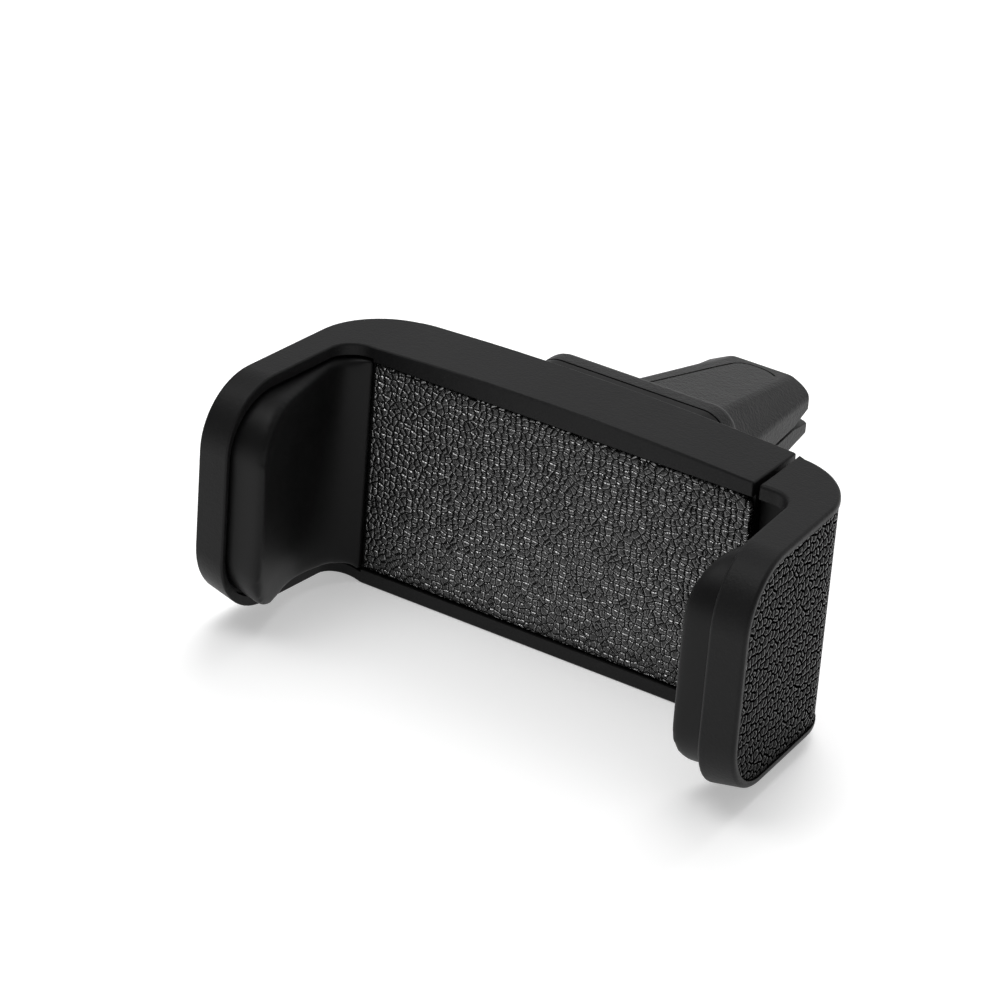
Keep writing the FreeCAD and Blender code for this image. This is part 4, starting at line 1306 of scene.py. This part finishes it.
    def build(self) -> None:
        """Builds the clip's pieces and dresses the solids that stay."""
        self.swivel()
        self.fingers()
        self.keep(swivel_washer=Finish.STEEL, friction_washer=Finish.SPRING, swivel_screw=Finish.STEEL,
                  clip_screws=Finish.STEEL)


# STUDIO


@dataclass
class Studio:
    """The pale floor, the soft lights and the camera, with places and sides in metres.

    Attributes:
        glow: How much the floor's own light lifts it towards white.
        sky: The range of Y over which the surroundings brighten, and their strength at both ends.
        lamps: What the lamp method gets for each light.
    """

    eye: Triple = (0.26749, -0.45829, 0.29892)
    rightwards: Triple = (0.8331, 0.5489, 0.0680)
    downwards: Triple = (0.3068, -0.3562, -0.8826)
    lens: float = 161.7
    ground: float = 6.0
    glow: float = 0.38
    sky: tuple[float, float, float, float] = (-0.5, 0.8, 0.16, 0.6)
    lamps: tuple = (("back_light", (-0.2, 0.52, 0.54), (0, 0, 0), 0.6, 4.0, False),
                    ("top_light", (-0.05, 0.05, 0.78), (0, 0, 0.02), 0.5, 1.5, False),
                    ("glint_light", (-0.26, -0.2, 0.75), (0, 0, 0.02), 0.4, 1.5, True))

    def camera(self) -> None:
        """Sets the camera at the photograph's viewpoint."""
        right = Vector(self.rightwards).normalized()
        down = Vector(self.downwards)
        down = (down - right * down.dot(right)).normalized()
        up = -down
        back = right.cross(up)
        turn = Matrix((right, up, back)).transposed()
        data = bpy.data.cameras.new("camera")
        data.lens = self.lens
        data.sensor_width = 36.0
        data.clip_start = 0.01
        data.clip_end = 20.0
        camera = bpy.data.objects.new("camera", data)
        camera.matrix_world = Matrix.Translation(Vector(self.eye)) @ turn.to_4x4()
        bpy.context.scene.collection.objects.link(camera)
        bpy.context.scene.camera = camera

    def seen(self, sheet: NodeSheet) -> Socket:
        """Tells the rays that see the floor's glow from those that would be lit by it.

        Args:
            sheet: The floor's node sheet.

        Returns:
            One for the camera's, glossy and transmission rays, and nought for the rest.
        """
        path = sheet.add("ShaderNodeLightPath")
        some = sheet.maths("MAXIMUM", path.outputs["Is Camera Ray"], path.outputs["Is Glossy Ray"])
        return sheet.maths("MAXIMUM", some, path.outputs["Is Transmission Ray"])

    def floor(self) -> None:
        """Lays the pale floor, which is lifted to white where no shadow falls."""
        deselect()
        bpy.ops.mesh.primitive_plane_add(size=self.ground, location=(0, 0, 0))
        ground = bpy.context.object
        ground.name = "floor"
        material, sheet, shader = start_material("pale_floor")
        sheet.feed(shader, {"Base Color": (0.8, 0.8, 0.8, 1), "Roughness": 0.9, "Specular IOR Level": 0.1})
        strength = sheet.maths("MULTIPLY", self.seen(sheet), self.glow)
        glow = sheet.add("ShaderNodeEmission", {"Color": (1, 1, 1, 1), "Strength": strength})
        both = sheet.add("ShaderNodeAddShader", {0: shader.outputs[0], 1: glow.outputs[0]})
        sheet.feed(material.node_tree.nodes["Material Output"], {"Surface": both.outputs[0]})
        ground.data.materials.append(material)

    def world(self) -> None:
        """Sets a pale surrounding that lights softly, less from the camera's side."""
        world = bpy.data.worlds.new("studio")
        world.use_nodes = True
        bpy.context.scene.world = world
        sheet = NodeSheet(world.node_tree)
        background = world.node_tree.nodes["Background"]
        way = sheet.add("ShaderNodeSeparateXYZ", {0: sheet.add("ShaderNodeTexCoord").outputs["Generated"]})
        strength = sheet.spread(way.outputs["Y"], *self.sky)
        sheet.feed(background, {"Color": (1, 1, 1, 1), "Strength": strength})

    def lamp(self, name: str, spot: tuple, aim: tuple, size: float, watts: float, glints: bool) -> None:
        """Hangs a square soft light.

        Args:
            name: The light's name.
            spot: Where it hangs.
            aim: The point it faces.
            size: Its side.
            watts: Its power.
            glints: Whether it shows in glossy surfaces, as only a bare lamp clearly does.
        """
        data = bpy.data.lights.new(name, "AREA")
        data.size = size
        data.energy = watts
        lamp = bpy.data.objects.new(name, data)
        way = Vector(aim) - Vector(spot)
        turn = way.to_track_quat("-Z", "Y").to_matrix().to_4x4()
        lamp.matrix_world = Matrix.Translation(Vector(spot)) @ turn
        lamp.visible_glossy = glints
        bpy.context.scene.collection.objects.link(lamp)

    def build(self) -> None:
        """Sets up the whole studio."""
        bpy.context.scene.view_settings.view_transform = "Standard"
        self.camera()
        self.floor()
        self.world()
        for lamp in self.lamps:
            self.lamp(*lamp)


def main() -> None:
    """Builds the studio and every sub-assembly in order."""
    logging.basicConfig(level=logging.INFO, format="%(message)s")
    Studio().build()
    finishes = make_finishes()
    parts = [kind(finishes) for kind in (Clamp, Slide, Clip)]
    for part in parts:
        part.build()
    LOG.info("%d new pieces", sum(len(part.pieces) for part in parts))


if __name__ == "__main__":
    main()
